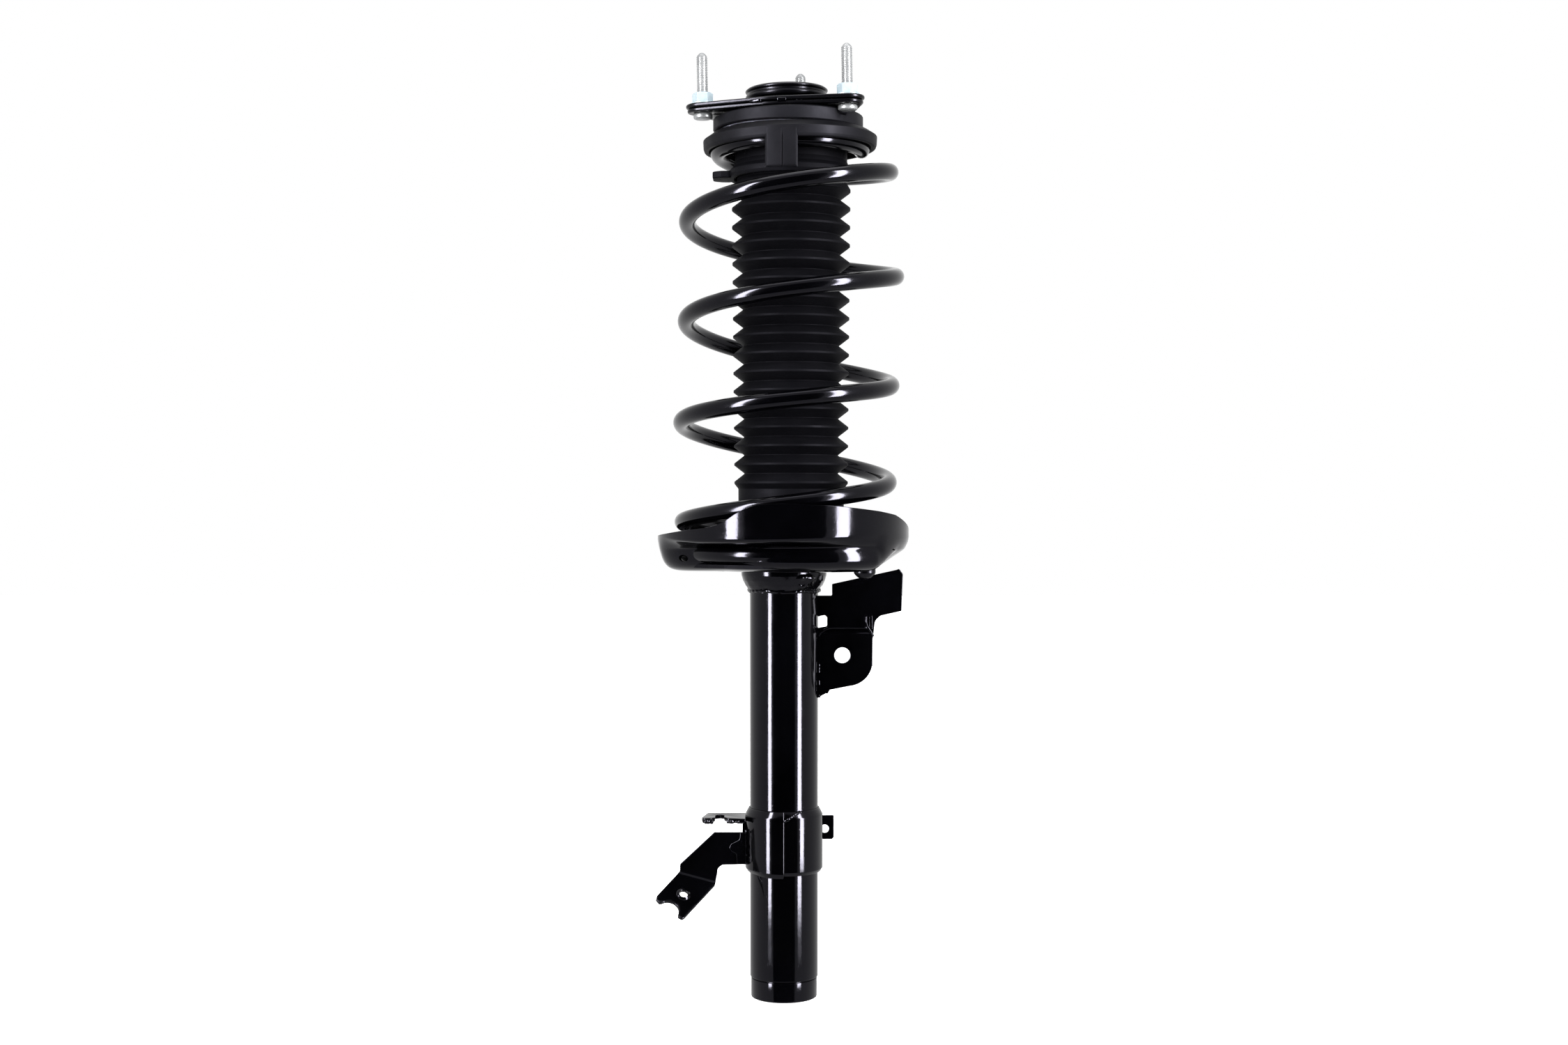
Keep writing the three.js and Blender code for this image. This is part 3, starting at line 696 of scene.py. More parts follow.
def make_seat():
    segments = 360
    verts = []
    for j in range(segments):
        deg = -180 + 360 * j / segments
        skin = spline_row(seat_profile(deg), 4)
        inside = offset_row(skin, SEAT_SHEET)
        inside[0] = (skin[0][0], skin[0][1] + SEAT_SHEET)
        (r0, z0), (r1, z1) = skin[-1], inside[-1]
        lip = [(r0 * (1 - t) + r1 * t, max(z0, z1) + 0.35 * sin(pi * t)) for t in (0.15, 0.5, 0.85)]
        for r, z in skin + lip + inside[::-1]:
            x, y = polar(deg, r)
            verts.append((x + SEAT_SHIFT * smooth(30, 60, r), y, z))
    mesh = mesh_of("seat_skin", verts, grid_faces(segments, len(verts) // segments))
    finish_mesh(mesh)
    seat = new_object("seat_maker", mesh)
    cutters = []
    # Drain holes, as (angle, radius, height, half width, half length, tilt from upright, way it faces).
    drains = [
        (-150, 56, SEAT_FLOOR, 5, 8, 0, -150),
        (30, 50, SEAT_FLOOR, 5, 5, 0, 30),
        (120, 52, SEAT_FLOOR, 5, 5, 0, 120),
        (-152, 81.5, 322.3, 2.3, 4.2, 78, -128),
        (-131, 75, 331.0, 0.55, 3.6, 84, -131),
        (-29, 86, 327.4, 0.5, 3.2, 70, -29),
    ]
    for deg, r, z, half_width, half_length, tilt, facing in drains:
        x, y = polar(deg, r)
        hole = turned_mesh("drain", [(0, -12), (1, -12), (1, 12), (0, 12)], 32)
        turn = Matrix.Rotation(radians(facing), 4, "Z") @ Matrix.Rotation(radians(tilt), 4, "Y")
        sized = Matrix.Diagonal((half_width, half_length, 1, 1))
        hole.transform(Matrix.Translation((x, y, z)) @ turn @ sized)
        finish_mesh(hole)
        cutters.append(new_object("drain_cutter", hole))
        cut = seat.modifiers.new("drain", "BOOLEAN")
        cut.object = cutters[-1]
        cut.operation = "DIFFERENCE"
        cut.solver = "EXACT"
    final = baked(seat, *cutters)
    final.name = "lower_seat"
    final.materials.clear()
    place("lower_seat", final, PAINT_SEAT, STRUT, ["lower_spring_seat"], sharp=50)
    make_seat_details()


def make_seat_details():
    """A small pressed nub under the dish."""
    nub = rounded([(0.01, 8), (6.2, 8), (6.2, 3.4, 2.4), (3.6, 0, 2.6), (0.01, 0)], 1, 6)
    nub = turned_mesh("nub", [(max(0, r), z) for r, z in nub], 40)
    nub.transform(Matrix.Translation((57.5, -40, SEAT_FLOOR - 4.2)) @ Matrix.Diagonal((1.25, 1, 1, 1)))
    place("seat_nub", nub, PAINT_PLATE, STRUT, sharp=60)


# ---- coil spring

# Height, radius and sideways shift of the wire's centre by turning angle; the wire climbs anticlockwise.
COIL_HEIGHTS = [
    (-180, 325.2), (-60, 325.2), (-20, 331), (20, 335.5), (90, 340), (180, 346.5), (360, 376.4), (540, 420.8),
    (720, 446.8), (900, 494.2), (1080, 526.9), (1260, 566.2), (1440, 604.4), (1550, 611.5), (1610, 617),
    (1680, 618.9), (1830, 619),
]
COIL_RADII = [
    (-180, 72), (-20, 73), (180, 76), (360, 73.8), (540, 77.8), (720, 75.2), (900, 74.6),
    (1080, 78.4), (1260, 74.5), (1400, 75), (1450, 73), (1560, 53), (1830, 51),
]
COIL_SHIFTS = [(-180, 0.8), (180, 1.8), (1440, HEAD_SHIFT), (1830, HEAD_SHIFT + 0.8)]
COIL_FIRST, COIL_LAST = -168, 1797


def eased(knots, deg):
    """The broken line averaged over a stretch each side, so that the wire has no corners."""
    steps = 20
    reach = 40
    low, high = knots[0][0], knots[-1][0]
    spots = [min(high, max(low, deg - reach + 2 * reach * k / steps)) for k in range(steps + 1)]
    return sum(between(knots, s) for s in spots) / len(spots)


def make_coil():
    path = []
    steps = 660
    for i in range(steps + 1):
        deg = COIL_FIRST + (COIL_LAST - COIL_FIRST) * i / steps
        x, y = polar(deg, eased(COIL_RADII, deg))
        path.append(Vector((x + eased(COIL_SHIFTS, deg), y, eased(COIL_HEIGHTS, deg))))
    sides = 24
    mesh, rings = swept_mesh("coil", path, WIRE_R, sides)
    levels = [path[i].z for i in rings for _ in range(sides)]
    stretching(mesh, "coil", levels, PAINT_COIL, "coil_spring", path[0].z, path[-1].z)


def stretching(mesh, name, levels, material, node, low, high):
    """A piece that spans the strut's travel. Each vertex moves by its level's share of the way from low to
    high, so that turns and folds close evenly."""
    shares = [min(1.0, max(0.0, (level - low) / (high - low))) for level in levels]
    mesh.attributes.new("share", "FLOAT", "POINT").data.foreach_set("value", shares)
    piece = place(name, mesh, material, None, [node], sharp=60)
    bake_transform(piece, STRUT, SEAT, start=(0, 0, low * MM), end=(0, 0, high * MM))
    kept = np.empty(len(mesh.vertices), np.float32)
    mesh.attributes["share"].data.foreach_get("value", kept)
    mesh.attributes["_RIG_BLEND"].data.foreach_set("value", kept)
    mesh.attributes.remove(mesh.attributes["share"])


# ---- dust bellows


def make_bellows():
    wall = 1.5
    cuff = 597  # height where the folds end and the upper cuff starts
    outer = [(38.4, 330, 0.4), (38.6, FIRST_FOLD - 7, 1), (38.6, FIRST_FOLD - 4.5, 0.8)]
    for i in range(FOLDS):
        share = i / (FOLDS - 1)
        peak = 41.5 + 1.9 * share
        valley = 34 + 1.7 * share
        z = FIRST_FOLD + FOLD_PITCH * i
        outer += [(peak, z - 0.75, 0.25), (peak, z + 0.75, 0.25)]
        if i < FOLDS - 1:
            outer += [(valley, z + FOLD_PITCH / 2, 0.5)]
    outer += [(39.2, cuff, 1), (39.2, 602.5, 0.3)]
    inner = [(r - wall, z, 0.4) for r, z, _ in reversed(outer)]
    mesh = turned_mesh("bellows", rounded(outer + inner, 0.4, 3), 128, shift=(BELLOWS_X, 0))
    levels = [v.co.z for v in mesh.vertices]
    stretching(mesh, "bellows", levels, RUBBER, "dust_bellows", FIRST_FOLD - 6, cuff)


# ---- upper seat, insulator and bearing cover

SEAT_LEAN = 0.026  # the upper seat's lip rises to the right by this slope
MOUNT_LEAN = 0.0192  # the top mount's plates do too
MOUNT_PIVOT = 645  # height that the top mount leans about


def make_upper_seat():
    low, high = UPPER_TOP - LIP_HEIGHT, UPPER_TOP
    bore = 34.3
    profile = rounded([
        (bore, high - 6.8), (58.4, high - 6.8, 0.6), (59.2, low + 0.3, 0.6), (60.4, low, 0.6),
        (62.4, low + 0.1, 1.6), (LIP_R - 0.3, low + 2.4, 2), (LIP_R, high - 5, 0.9),
        (58.4, high - 1.6, 1.2), (56.6, high - 0.5, 0.5), (51, high, 0.4), (51, high - 4),
        (37.2, high - 4), (37.2, high), (bore, high),
    ], 0.3)

    def move(x, y, z):
        """Shifts the lip to the right, and leans it."""
        r = hypot(x, y)
        outside = smooth(52, 58, r)
        return x + HEAD_SHIFT * smooth(40, 50, r), y, z + SEAT_LEAN * (x + 4) * outside - 0.4 * outside

    body = turned_mesh("seat_lip", profile, 160, form=move)
    place("upper_seat", body, PLASTIC, SEAT, ["upper_spring_seat"])


def make_seat_tab():
    """The tab that hangs in front of the top coil, with a parting groove down its middle."""
    left, right, low, high = -13.2, 9.6, 597.2, 626.6
    depth = 3.0
    parting = (left + right) / 2 + 0.4

    def spot(front, u, v):
        x, z = left + (right - left) * u, low + (high - low) * v
        from_edge = min(x - left, right - x, z - low)
        round_off = 0.9 * (1 - smooth(0, 1.2, from_edge))
        groove = 0.9 * exp(-(((x - parting) / 0.3) ** 2))
        y = 0.1 - sqrt(LIP_R**2 - (x - HEAD_SHIFT) ** 2)
        return x, y + (groove + round_off if front else depth - round_off), z

    place("upper_seat_tab", shell_mesh("seat_tab", 40, 96, spot), PLASTIC, SEAT)


def make_insulator():
    profile = rounded([
        (34.8, 603, 0.4), (41.4, 602.6, 0.4), (41.8, 597.4, 0.6), (45, 597.4, 1), (46.2, 600, 1.2),
        (45.6, 603.4, 1.2), (42.4, 606.2, 1.5), (41, 610, 1), (40.8, 625, 0.6), (38, 625, 0.5),
        (38, 619.2, 0.5), (34.8, 619.2, 0.5),
    ], 0.6)
    body = turned_mesh("insulator_body", profile, 128, shift=(BELLOWS_X, 0))
    wing_line = rounded([(-38, -13), (-46, -12), (-52, -8), (-52, 8), (-46, 12), (-38, 13)], 3, 6)
    wing = plate_mesh("wing", wing_line, thickness=5, edge=1.0)
    mesh = joined("insulator", body, moved(wing, z=597.6))
    place("insulator", mesh, RUBBER_SOFT, SEAT, ["upper_insulator"])


def make_cover():
    low, high = COVER_BOTTOM, COVER_TOP
    bore = 34.2
    profile = rounded([
        (bore, low), (37.2, low), (37.2, low + 6.3), (50.8, low + 6.3),
        (50.8, low), (53.6, low - 0.1, 0.4), (COVER_R, low + 0.8, 0.6), (COVER_R, low + 5, 0.2),
        (COVER_R, low + 7, 0.2), (COVER_R, high - 1.7, 0.8), (52.6, high - 0.7, 0.6), (bore, high - 0.5),
    ], 0.3)
    heads = [Vector(polar(deg, STUD_CIRCLE)) for deg in STUD_ANGLES]

    def move(x, y, z):
        """Leans the top, and hollows the wall round the stud heads."""
        outside = smooth(40, 50, hypot(x, y))
        spot = Vector((x + COVER_SHIFT * outside, y))
        for head in heads:
            apart = spot - head
            if z > low + 5.5 and apart.length < STUD_HEAD_CLEAR:
                spot = head + apart.normalized() * STUD_HEAD_CLEAR
        return spot.x, spot.y, z + MOUNT_LEAN * x * smooth(low + 2, high, z)

    mesh = turned_mesh("cover", profile, 240, form=move)
    place("bearing_cover_fine", mesh, PLASTIC_COVER, MOUNT, ["bearing_cover"])


# ---- top mount


def lobed(disc, lobe):
    """A rounded triangle: a lobe round each stud, joined to a central disc by straight tangents."""
    lean = degrees(acos((disc - lobe) / STUD_CIRCLE))
    out = []
    for deg in STUD_ANGLES:
        x, y = polar(deg, STUD_CIRCLE)
        out += arc(x, y, lobe, deg - lean, deg + lean, 20)
        out += arc(0, 0, disc, deg + lean, deg + 120 - lean, 8)
    return out


def circle(x, y, r, steps=40):
    return arc(x, y, r, 0, 360 - 360 / steps, steps - 1)


def tilted(mesh):
    """Leans a piece of the top mount with its plates."""
    k = MOUNT_LEAN
    mesh.transform(Matrix(((1, 0, -k, k * MOUNT_PIVOT), (0, 1, 0, 0), (k, 0, 1, 0), (0, 0, 0, 1))))
    return mesh


def make_plates():
    holes = [circle(*polar(deg, STUD_CIRCLE), STUD_R + 0.3, 24) for deg in STUD_ANGLES]
    for name, disc, lobe, hole, bottom in [
        ("lower", 48.5, LOBE_R - 1, 33, PLATE_BOTTOM), ("upper", 49.5, LOBE_R, 32.5, PLATE_TOP - PLATE_SHEET),
    ]:
        plate = plate_mesh(name, lobed(disc, lobe), [circle(0, 0, hole, 96), *holes], PLATE_SHEET, edge=1.2)
        plate = tilted(moved(plate, z=bottom))
        place(f"plate_{name}", plate, PAINT_PLATE, MOUNT, [f"mount_plate_{name}"])
    crimps = []
    for n, (start, end) in enumerate([(-119, -110), (-95, -89), (-79, -76)]):
        seam = [Vector((x, y, PLATE_TOP - 2.6)) for x, y in arc(0, 0, 48.6, start, end, 12)]
        crimps.append(bead_mesh("crimp", seam, 1.5, 21 + n, sides=14, ripple=30, rough=0.15))
    place("plate_crimps", tilted(joined("crimps", *crimps)), PAINT_WELD, MOUNT, sharp=60)


def make_cap():
    low, high = CAP_BOTTOM, CAP_TOP - 0.8
    profile = rounded([
        (6.3, low, 0.2), (23.6, low, 1), (26, low + 4.4, 1), (29.4, low + 5.2, 0.8), (30.2, low + 7, 0.9),
        (29.6, low + 8.6, 0.6), (28.4, low + 9.2, 0.4), (28.4, low + 10.4, 0.4), (29.8, low + 11, 0.6),
        (30.2, low + 12, 0.9), (28.4, high - 0.2, 1.2), (15.6, high - 0.2, 1), (14.2, high - 2.2, 0.8),
        (14, low + 2.8, 0.5), (6.3, low + 2.8, 0.2),
    ], 0.5)

    def move(x, y, z):
        return x + CAP_SHIFT * smooth(10, 15, hypot(x, y)), y, z

    mesh = tilted(turned_mesh("cap", profile, 144, form=move))
    place("cap", mesh, PAINT_PLATE, MOUNT, ["mount_cap"])
    nut = hex_nut(18, ROD_NUT_BOTTOM, 8, 6.3)
    place("nut_rod", nut, ZINC, MOUNT, ["rod_nut"])


def hex_nut(flats, bottom, height, bore, flange=0):
    """A hexagon nut with chamfered corners, on a conical flange where flange is its radius."""
    columns = 96
    turn = [360 * j / columns for j in range(columns)]
    top = bottom + height

    def row(z, least=0.0, most=inf):
        """One ring of points: the hexagon, held between two radii."""
        sides = [(flats / 2) / cos(radians((deg + 30) % 60 - 30)) for deg in turn]
        return [(*polar(deg, min(most, max(least, side))), z) for deg, side in zip(turn, sides)]

    def chamfered(z, depth):
        return row(z, most=flats / 2 * 0.97 + depth * 1.75)

    verts = row(bottom, bore, bore)
    if flange:
        for z, r in ((0, flange - 0.3), (0.35, flange), (0.8, flange - 0.1)):
            verts += row(bottom + z, r, r)
        verts += row(bottom + 1.5, flats / 2 + 0.9) + row(bottom + 2)
    else:
        verts += chamfered(bottom, 0.05) + chamfered(bottom + 0.25, 0.4) + chamfered(bottom + 0.6, 0.9)
    verts += row(top - 1.1) + chamfered(top - 0.55, 0.55) + chamfered(top - 0.2, 0.15) + chamfered(top, 0)
    verts += row(top, bore + 0.7, bore + 0.7) + row(top - 0.6, bore, bore)
    return mesh_of("hex_nut", verts, grid_faces(len(verts) // columns, columns))


def stud_mesh():
    """A press-in stud: round head, plain neck, rolled thread and a domed lead-in tip."""
    columns = 40
    pitch = 1.25
    thread_from, thread_to = PLATE_TOP + 1, STUD_TOP - 3.2
    head = STUD_HEAD
    rows = [(0, head), (5.6, head), (6.6, head + 0.4), (6.9, head + 1), (6.9, head + 3.3), (6.4, head + 3.8),
            (STUD_R, head + 3.8), (STUD_R, head + 6), (STUD_R, thread_from)]
    steps = int((thread_to - thread_from) / pitch * 8)
    rows += [(STUD_R, thread_from + (thread_to - thread_from) * k / steps) for k in range(1, steps + 1)]
    tip = [(3.6, 2.5), (2.9, 1.5), (2.1, 0.7), (1.3, 0.1), (0, 0)]  # radius, and depth below the top
    rows += [(r, STUD_TOP - depth) for r, depth in tip]
    verts = []
    for r, z in rows:
        for j in range(columns):
            deg = 360 * j / columns
            cut = 0.0
            if thread_from < z <= thread_to:
                phase = ((z - thread_from) / pitch - deg / 360) % 1
                fade = smooth(thread_from, thread_from + 1.5, z)
                cut = fade * 0.42 * (1 - abs(2 * phase - 1)) ** 0.8
            verts.append((*polar(deg, r - cut), z))
    return mesh_of("stud", verts, grid_faces(len(rows), columns, wrap_rows=False))


def make_studs():
    for i, deg in enumerate(STUD_ANGLES, 1):
        x, y = polar(deg, STUD_CIRCLE)
        stud = moved(stud_mesh(), x, y)
        place(f"stud_fine_{i}", tilted(stud), ZINC_STUD, MOUNT, [f"stud_{i}"], sharp=45)
        nut = hex_nut(13, PLATE_TOP + 0.3, 8.3, STUD_R + 0.25, flange=9)
        nut.transform(Matrix.Translation((x, y, 0)) @ Matrix.Rotation(radians(deg + 12), 4, "Z"))
        place(f"nut_fine_{i}", tilted(nut), ZINC, MOUNT, [f"stud_nut_{i}"], sharp=28)


# ---- link bracket

def bend_cuts(at, direction, width, count=8):
    """Parallel cut lines across a bend zone."""
    dx, dy = Vector(direction).normalized()
    reaches = [width * k / count for k in range(count + 1)]
    return [((at[0] - dy * reach, at[1] + dx * reach), (dx, dy)) for reach in reaches]


def make_link_bracket():
    left = TUBE_R - 0.8
    outline = rounded([
        (left, 219, 0.6), (30.4, 222.3, 0.8), (32.1, 222.5, 0.8), (33.4, 225),
        *((x, z, 0) for x, z in arc(46.5, 246, 18.2, -85, -6, 16)), (64.8, 262),
        (66, 270), (66.8, 275.4, 5), (70.5, 279, 4), (86.1, 282.5), (87.1, 309.6, 2), (84.4, 313.4, 2),
        (82.4, 312.6), (35.2, 302.2, 0.8), (35.2, 293.7), (left, 293.7, 0.6), (left, 278.5, 0.6),
        (30, 279.4), (31.6, 277.8), (31.6, 271.2, 1.4), (left, 270, 0.6),
    ], 1, 5)
    hole = circle(42.6, 250.3, 5.8, 48)
    low, high = 265.5, 271  # heights between which the sheet steps back
    joggle = bend_cuts((0, low), (1, 0), high - low, 14)

    def stepped(p):
        return Vector((p.x, p.y, p.z - 4.2 * smooth(low, high, p.y)))

    sheet = stood(plate_mesh("link_sheet", outline, [hole], 3, 0.4, joggle, stepped), -2.2)
    edge_line = rounded([(-1.9, 240), (7.2, 246), (7.2, 272), (4, 278), (-1.9, 280)], 3, 6)
    edge = sideways(plate_mesh("link_edge", edge_line, thickness=2.4, edge=0.4), 62.4)
    place("link_sheet", joined("link", sheet, edge), PAINT_SHEET, STRUT, ["link_bracket"])
    folds = []
    for n, line in enumerate([
        [(25.6, 264.6), (26.4, 266.6), (28.6, 268), (31.6, 269.8), (38, 270.6), (60, 270.4)],
        [(60.2, 278.6), (59.9, 275.4), (61, 271.4), (63.4, 267.6), (65, 264.4)],
    ]):
        path = [Vector((x, -5.0, z)) for x, z in spline_row(line, 8)]
        folds.append(bead_mesh("fold", path, 0.75, 41 + n, sides=12, ripple=60, rough=0.25))
    place_weld("link_folds", joined("folds", *folds))
    seam = straight((TUBE_R + 0.3, -3.8, 266), (TUBE_R + 0.3, -3.8, 220), 40)
    place_weld("link_weld_low", bead_mesh("link_weld_low", seam, 1.3, 5))
    seam = straight((TUBE_R + 0.4, 0.6, 293), (TUBE_R + 0.4, 0.6, 279), 16)
    place_weld("link_weld_top", bead_mesh("link_weld_top", seam, 1.2, 6))


# ---- sleeve and its brackets


def make_sleeve():
    profile = rounded([
        (25.3, SLEEVE_BOTTOM, 0.3), (26.8, SLEEVE_BOTTOM, 0.6), (SLEEVE_R, SLEEVE_BOTTOM + 2.6, 1.6),
        (SLEEVE_R, SLEEVE_TOP - 1, 3), (26, SLEEVE_TOP + 3.6, 1.5), (25.3, SLEEVE_TOP + 4, 0.3),
    ], 0.5, 6)

    def seamed(x, y, z):
        """The left side stands a little proud of the right, and hangs lower, up to the front seam."""
        deg = degrees(atan2(y, x))
        past = smooth(SLEEVE_SEAM - 0.6, SLEEVE_SEAM + 0.6, deg)
        proud = smooth(-150, -110, deg) * (1 - past)
        sunk = 1 - smooth(SLEEVE_SEAM + 0.6, -62, deg) if past > 0.5 else 0
        grow = 1 + 0.02 * proud - 0.012 * sunk
        low = 1 - smooth(SLEEVE_BOTTOM, SLEEVE_BOTTOM + 6, z)
        return x * grow, y * grow, z - 1.6 * proud * low

    mesh = turned_mesh("sleeve", profile, 360, form=seamed)
    place("sleeve", mesh, PAINT, STRUT, ["locator_sleeve"], sharp=32)
    path = []
    for k in range(41):
        t = k / 40
        deg = SLEEVE_SEAM + 0.5 + 27 * t
        z = 132.4 + 5.4 * smooth(0, 0.75, t) + 0.4 * sin(7 * t)
        r = SLEEVE_R + 0.1 - 2.6 * smooth(0.25, 0.95, t)
        path.append(Vector((*polar(deg, r), z)))
    place_weld("sleeve_weld", bead_mesh("sleeve_weld", path, 1.0, 9, ripple=2.2, rough=0.6))


def make_hose_bracket():
    sheet = 2.6
    face_y = -11.3
    fold_a, fold_b = Vector((-75.9, 93.7)), Vector((-49.5, 86.7))
    along = (fold_b - fold_a).normalized()
    down = Vector((along.y, -along.x))

    def reach(u, v):
        """A point of the arm, u along the fold line and v past it."""
        return tuple(fold_a + along * u + down * v)

    outline = [
        (BRACKET_ROOT, 98.3), (BRACKET_ROOT, 121.7), (-50.8, 121.7, 1.5), (-75.9, 98.3, 2.5), (-75.9, 93.7),
        (*reach(-11.2, 26.6), 1.6), (*reach(-11.2, 29.6), 1.2), (*reach(-8.2, 32.2), 1.2),
    ]
    outline += [(*reach(*p), 0) for p in arc(-0.5, 36, 7.4, 212, 365, 18)[1:]]
    outline += [
        (*reach(7.2, 39.4), 1.2), (*reach(10.4, 40.8), 1.4), (*reach(12, 39), 1.2),
        (*reach(27.6, 3), 3), (-48.6, 91.9, 2), (-48.2, 95.4, 3), (-45, 98, 3),
    ]
    outline = rounded(outline, 1, 5)
    eye = (7, 19.3)
    hole = [reach(*p) for p in circle(*eye, 3, 32)]
    lean = radians(50)
    bend = 3.2  # half the length of sheet that the fold takes up

    def folded(p):
        """Past the fold line the sheet curls forward by the lean angle."""
        q = Vector((p.x, p.y)) - fold_a
        u, v = q.dot(along), q.dot(down)
        if v < -bend:
            return Vector((p.x, p.y, p.z))
        turn = lean * min(1.0, (v + bend) / (2 * bend))
        radius = 2 * bend / lean
        w = p.z - sheet
        flat = -bend + (radius - w) * sin(turn)
        rise = radius - (radius - w) * cos(turn)
        if v > bend:
            flat += (v - bend) * cos(lean)
            rise += (v - bend) * sin(lean)
        spot = fold_a + along * u + down * flat
        return Vector((spot.x, spot.y, sheet + rise))

    def embossed(p):
        """A raised rim round the eye, on the folded sheet."""
        q = Vector((p.x, p.y)) - fold_a
        near = (Vector((q.dot(along), q.dot(down))) - Vector(eye)).length
        return folded(Vector((p.x, p.y, p.z + 0.9 * (1 - smooth(3.4, 5.2, near)))))

    centre = (fold_a + fold_b) / 2 - down * bend
    cuts = bend_cuts(tuple(centre), tuple(-along), 2 * bend, 8)
    for radius in (3.4, 4.3, 5.2):
        for k in range(8):
            c, s = polar(45 * k, 1)
            cuts.append((reach(eye[0] + radius * c, eye[1] + radius * s), tuple(down * c - along * s)))
    arm = stood(plate_mesh("hose_arm", outline, [hole], sheet, 0.35, cuts, embossed), face_y + sheet)
    side_line = rounded([(face_y, 98), (13, 98), (13, 129), (-2, 129), (-7, 124), (face_y, 122)], 2, 5)
    side = sideways(plate_mesh("hose_side", side_line, thickness=sheet, edge=0.35), BRACKET_ROOT - sheet)
    edge = rounded([
        (BRACKET_ROOT, 121.4), (-32, 121.4), (-32.4, 116.6, 2), (-38.6, 113.4, 2), (-40.2, 110.4, 2),
        (-38, 107.6, 2), (-34.9, 106.4, 2), (-34.2, 98.6), (BRACKET_ROOT, 98.6),
    ], 0.6, 5)
    flange = stood(plate_mesh("hose_flange", edge, thickness=1.4, edge=0.5), face_y + 0.4)
    place("hose_arm", joined("hose", arm, side, flange), PAINT_SHEET, STRUT, ["hose_bracket"])
    seam = straight((BRACKET_ROOT + 0.6, face_y + 1, 99), (BRACKET_ROOT + 0.6, face_y + 1, 123), 24)
    place_weld("hose_weld", bead_mesh("hose_weld", seam, 1.5, 12))


def make_clip_plate():
    outline = [
        (BRACKET_ROOT, 13), (-56.7, 13, 1.5), (-60, -9, 2), (-58.4, -13, 2), (-52.6, -13, 1.5),
        (-51.8, -10.6), (-50.3, -9.5), (-50.3, 1, 3), (-47, 4.6, 3), (-43.7, 1, 3), (-43.7, -7),
        (-42.4, -9.4),
        (-41, -13, 1.5), (-35.5, -14.2, 1.5), (BRACKET_ROOT, -16),
    ]
    level = 129.3
    mesh = moved(plate_mesh("clip_sheet", rounded(outline, 1, 5), thickness=3, edge=0.4), z=level)
    place("clip_sheet", mesh, PAINT_SHEET, STRUT, ["clip_plate"])
    drips = []
    for n, (start, end) in enumerate([(-58.6, -52.2), (-41, -31)]):
        edge = straight((start, -12.2, level + 0.6), (end, -13.8, level + 0.6), 20)
        drips.append(bead_mesh("drip", edge, 1.45, 31 + n, sides=12, ripple=5, rough=0.6))
    place_weld("clip_drips", joined("drips", *drips))


def make_rear_tab():
    outline = rounded([(24.6, 112.1), (35.6, 112.1, 1.2), (37, 113.5, 1), (37, 129.8, 0.8), (24.6, 129.8)])
    mesh = plate_mesh("tab_sheet", outline, [circle(30.2, 119.8, 3.1, 32)])
    place("tab_sheet", stood(mesh, 18.6), PAINT_SHEET, STRUT, ["rear_tab"])


# ---- CAD nodes that stay

KEPT = [
    (STEEL, "inner_cylinder", "closing_washer", "piston_nut", "bump_stop_cup", "core_sleeve"),
    (STEEL, "bearing_lower_race", "bearing_upper_race"),
    (ALLOY, "base_valve", "rod_guide", "piston"),
    (CHROME, "piston_rod"),
    (RUBBER_SOFT, "rod_seal", "rebound_stop", "lower_spring_pad"),
    (RUBBER, "rubber_core"),
    (FOAM, "bump_stop"),
    (RESIN, "piston_ring", "ball_cage"),
    (PAINT_PLATE, "mount_cup"),
]


def dress_kept_nodes():
    for material, *names in KEPT:
        for name in names:
            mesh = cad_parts[name].data
            mesh.materials.clear()
            mesh.materials.append(material)


# ---- floor, light and camera

CAMERA_DISTANCE = 1.4705
CAMERA_HEIGHT = 0.3655
CAMERA_TILT = 0.71
LENS = 46.11


def make_floor():
    size = 6.0
    bm = bmesh.new()
    bmesh.ops.create_grid(bm, x_segments=24, y_segments=24, size=size)
    mesh = bpy.data.meshes.new("floor")
    bm.to_mesh(mesh)
    bm.free()
    n = Nodes("floor_paper")
    n.colour(n.noise(1.5, 2), (0.86, 0.86, 0.86), (0.9, 0.9, 0.9))
    n.value("Roughness", 1.0)
    n.value("Specular IOR Level", 0.0)
    n.value("Emission Color", (1, 1, 1, 1))
    n.value("Emission Strength", 0.62)
    mesh.materials.append(n.material)
    floor = new_object("floor", mesh)
    floor.location.z = -0.0005
    floor.visible_glossy = False


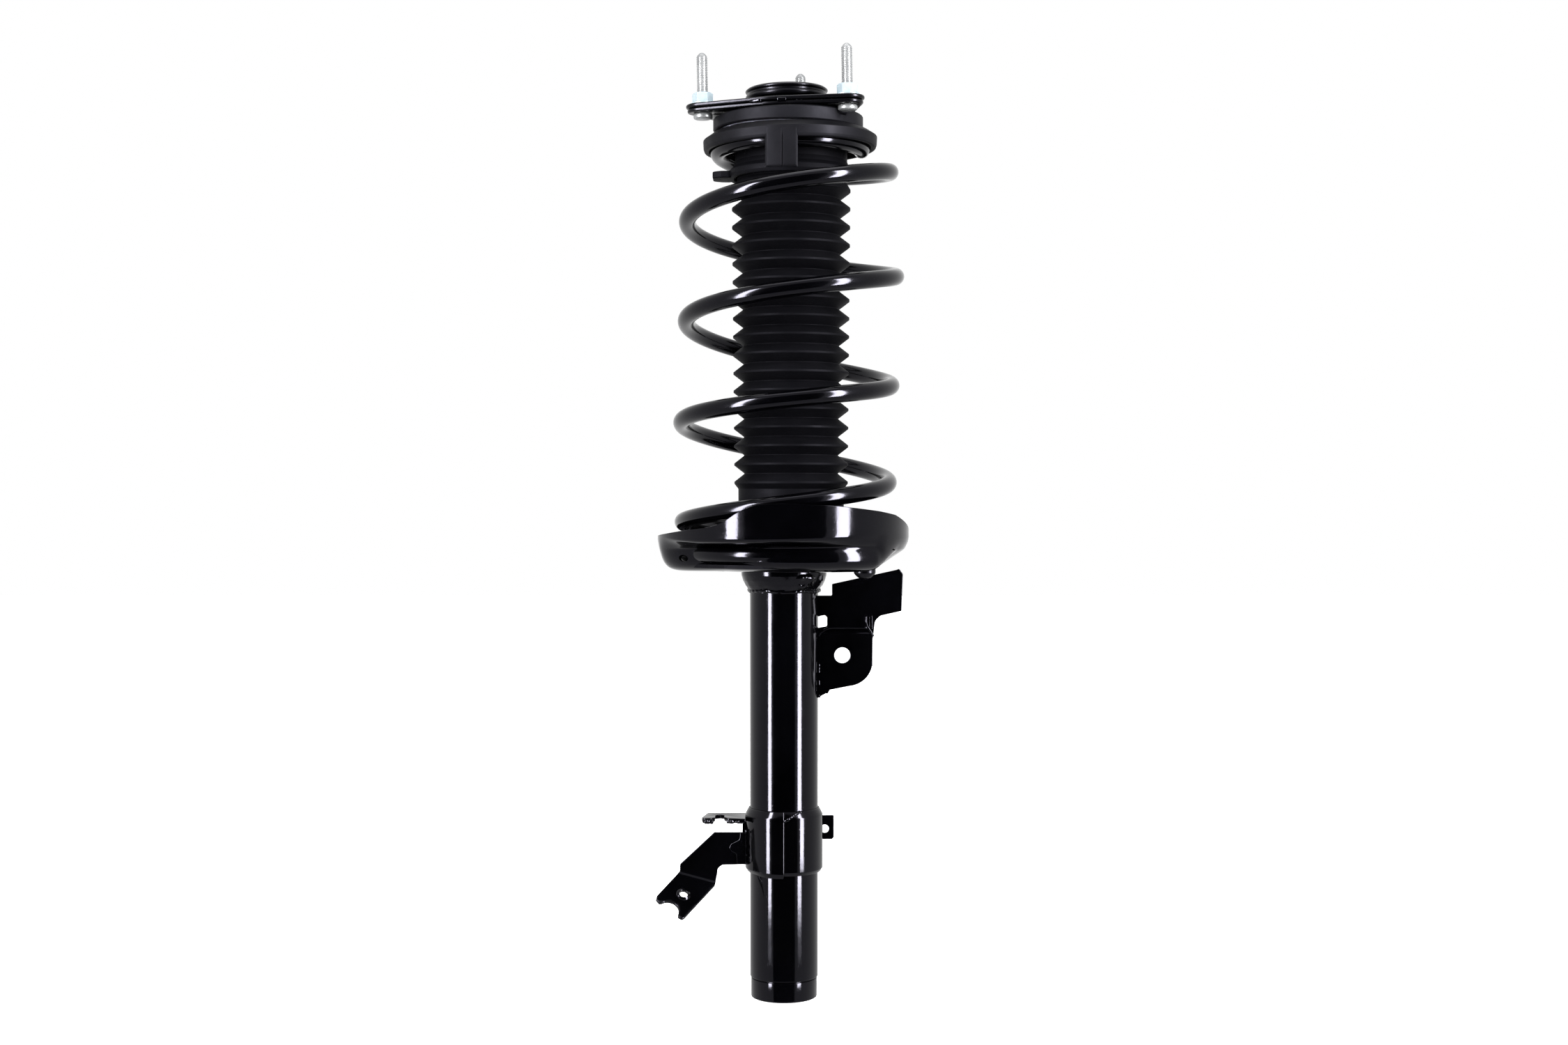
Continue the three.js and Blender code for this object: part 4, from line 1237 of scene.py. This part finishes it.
def flag(name, x0, x1, y, z0, z1):
    """A black card that keeps the camera side dark in reflections. The camera doesn't see it."""
    mesh = mesh_of(name, [(x0, y, z0), (x1, y, z0), (x1, y, z1), (x0, y, z1)], [(0, 1, 2, 3)])
    n = Nodes(name + "_cloth")
    n.colour(n.noise(4), (0, 0, 0), (0.002, 0.002, 0.002), 0, 1)
    n.value("Specular IOR Level", 0.0)
    mesh.materials.append(n.material)
    obj = new_object(name, mesh)
    obj.visible_camera = False
    obj.visible_shadow = False
    obj.visible_diffuse = False


def strip_light(name, azimuth, distance, width, low, high, power):
    """An upright strip beside the camera, turned to face the object."""
    light = bpy.data.lights.new(name, "AREA")
    light.shape = "RECTANGLE"
    light.size = width
    light.size_y = high - low
    light.energy = power
    obj = new_object(name, light)
    a = radians(azimuth)
    obj.location = (distance * sin(a), -distance * cos(a), (low + high) / 2)
    obj.rotation_euler = (radians(90), 0, a)
    obj.visible_camera = False


def make_lights():
    strip_light("strip_left", -48.5, 2.0, 0.38, -0.34, 2.4, 275)
    strip_light("strip_right", 53.5, 2.0, 0.46, -0.34, 2.4, 330)
    flag("flag_front", -1.75, 1.75, -2.3, -1.2, 2.6)
    top = bpy.data.lights.new("top_soft", "AREA")
    top.shape = "DISK"
    top.size = 1.6
    top.energy = 14
    lamp = new_object("top_soft", top)
    lamp.location = (0, 0.1, 2.4)
    lamp.visible_camera = False
    world = bpy.data.worlds.new("studio")
    world.use_nodes = True
    background = world.node_tree.nodes["Background"]
    background.inputs["Color"].default_value = (1, 1, 1, 1)
    background.inputs["Strength"].default_value = 1.0
    bpy.context.scene.world = world


def make_camera():
    data = bpy.data.cameras.new("camera")
    data.lens = LENS
    data.sensor_width = 36
    data.clip_end = 100
    camera = new_object("camera", data)
    camera.location = (0, -CAMERA_DISTANCE, CAMERA_HEIGHT)
    camera.rotation_euler = (radians(90 - CAMERA_TILT), 0, 0)
    bpy.context.scene.camera = camera


for make in (
    make_camera, make_floor, make_lights, make_tube, make_collar, make_seat, make_coil, make_bellows,
    make_upper_seat, make_seat_tab, make_insulator, make_cover, make_plates, make_cap, make_studs,
    make_link_bracket, make_sleeve, make_hose_bracket, make_clip_plate, make_rear_tab, dress_kept_nodes,
):
    make()
bpy.context.scene.view_settings.view_transform = "Standard"
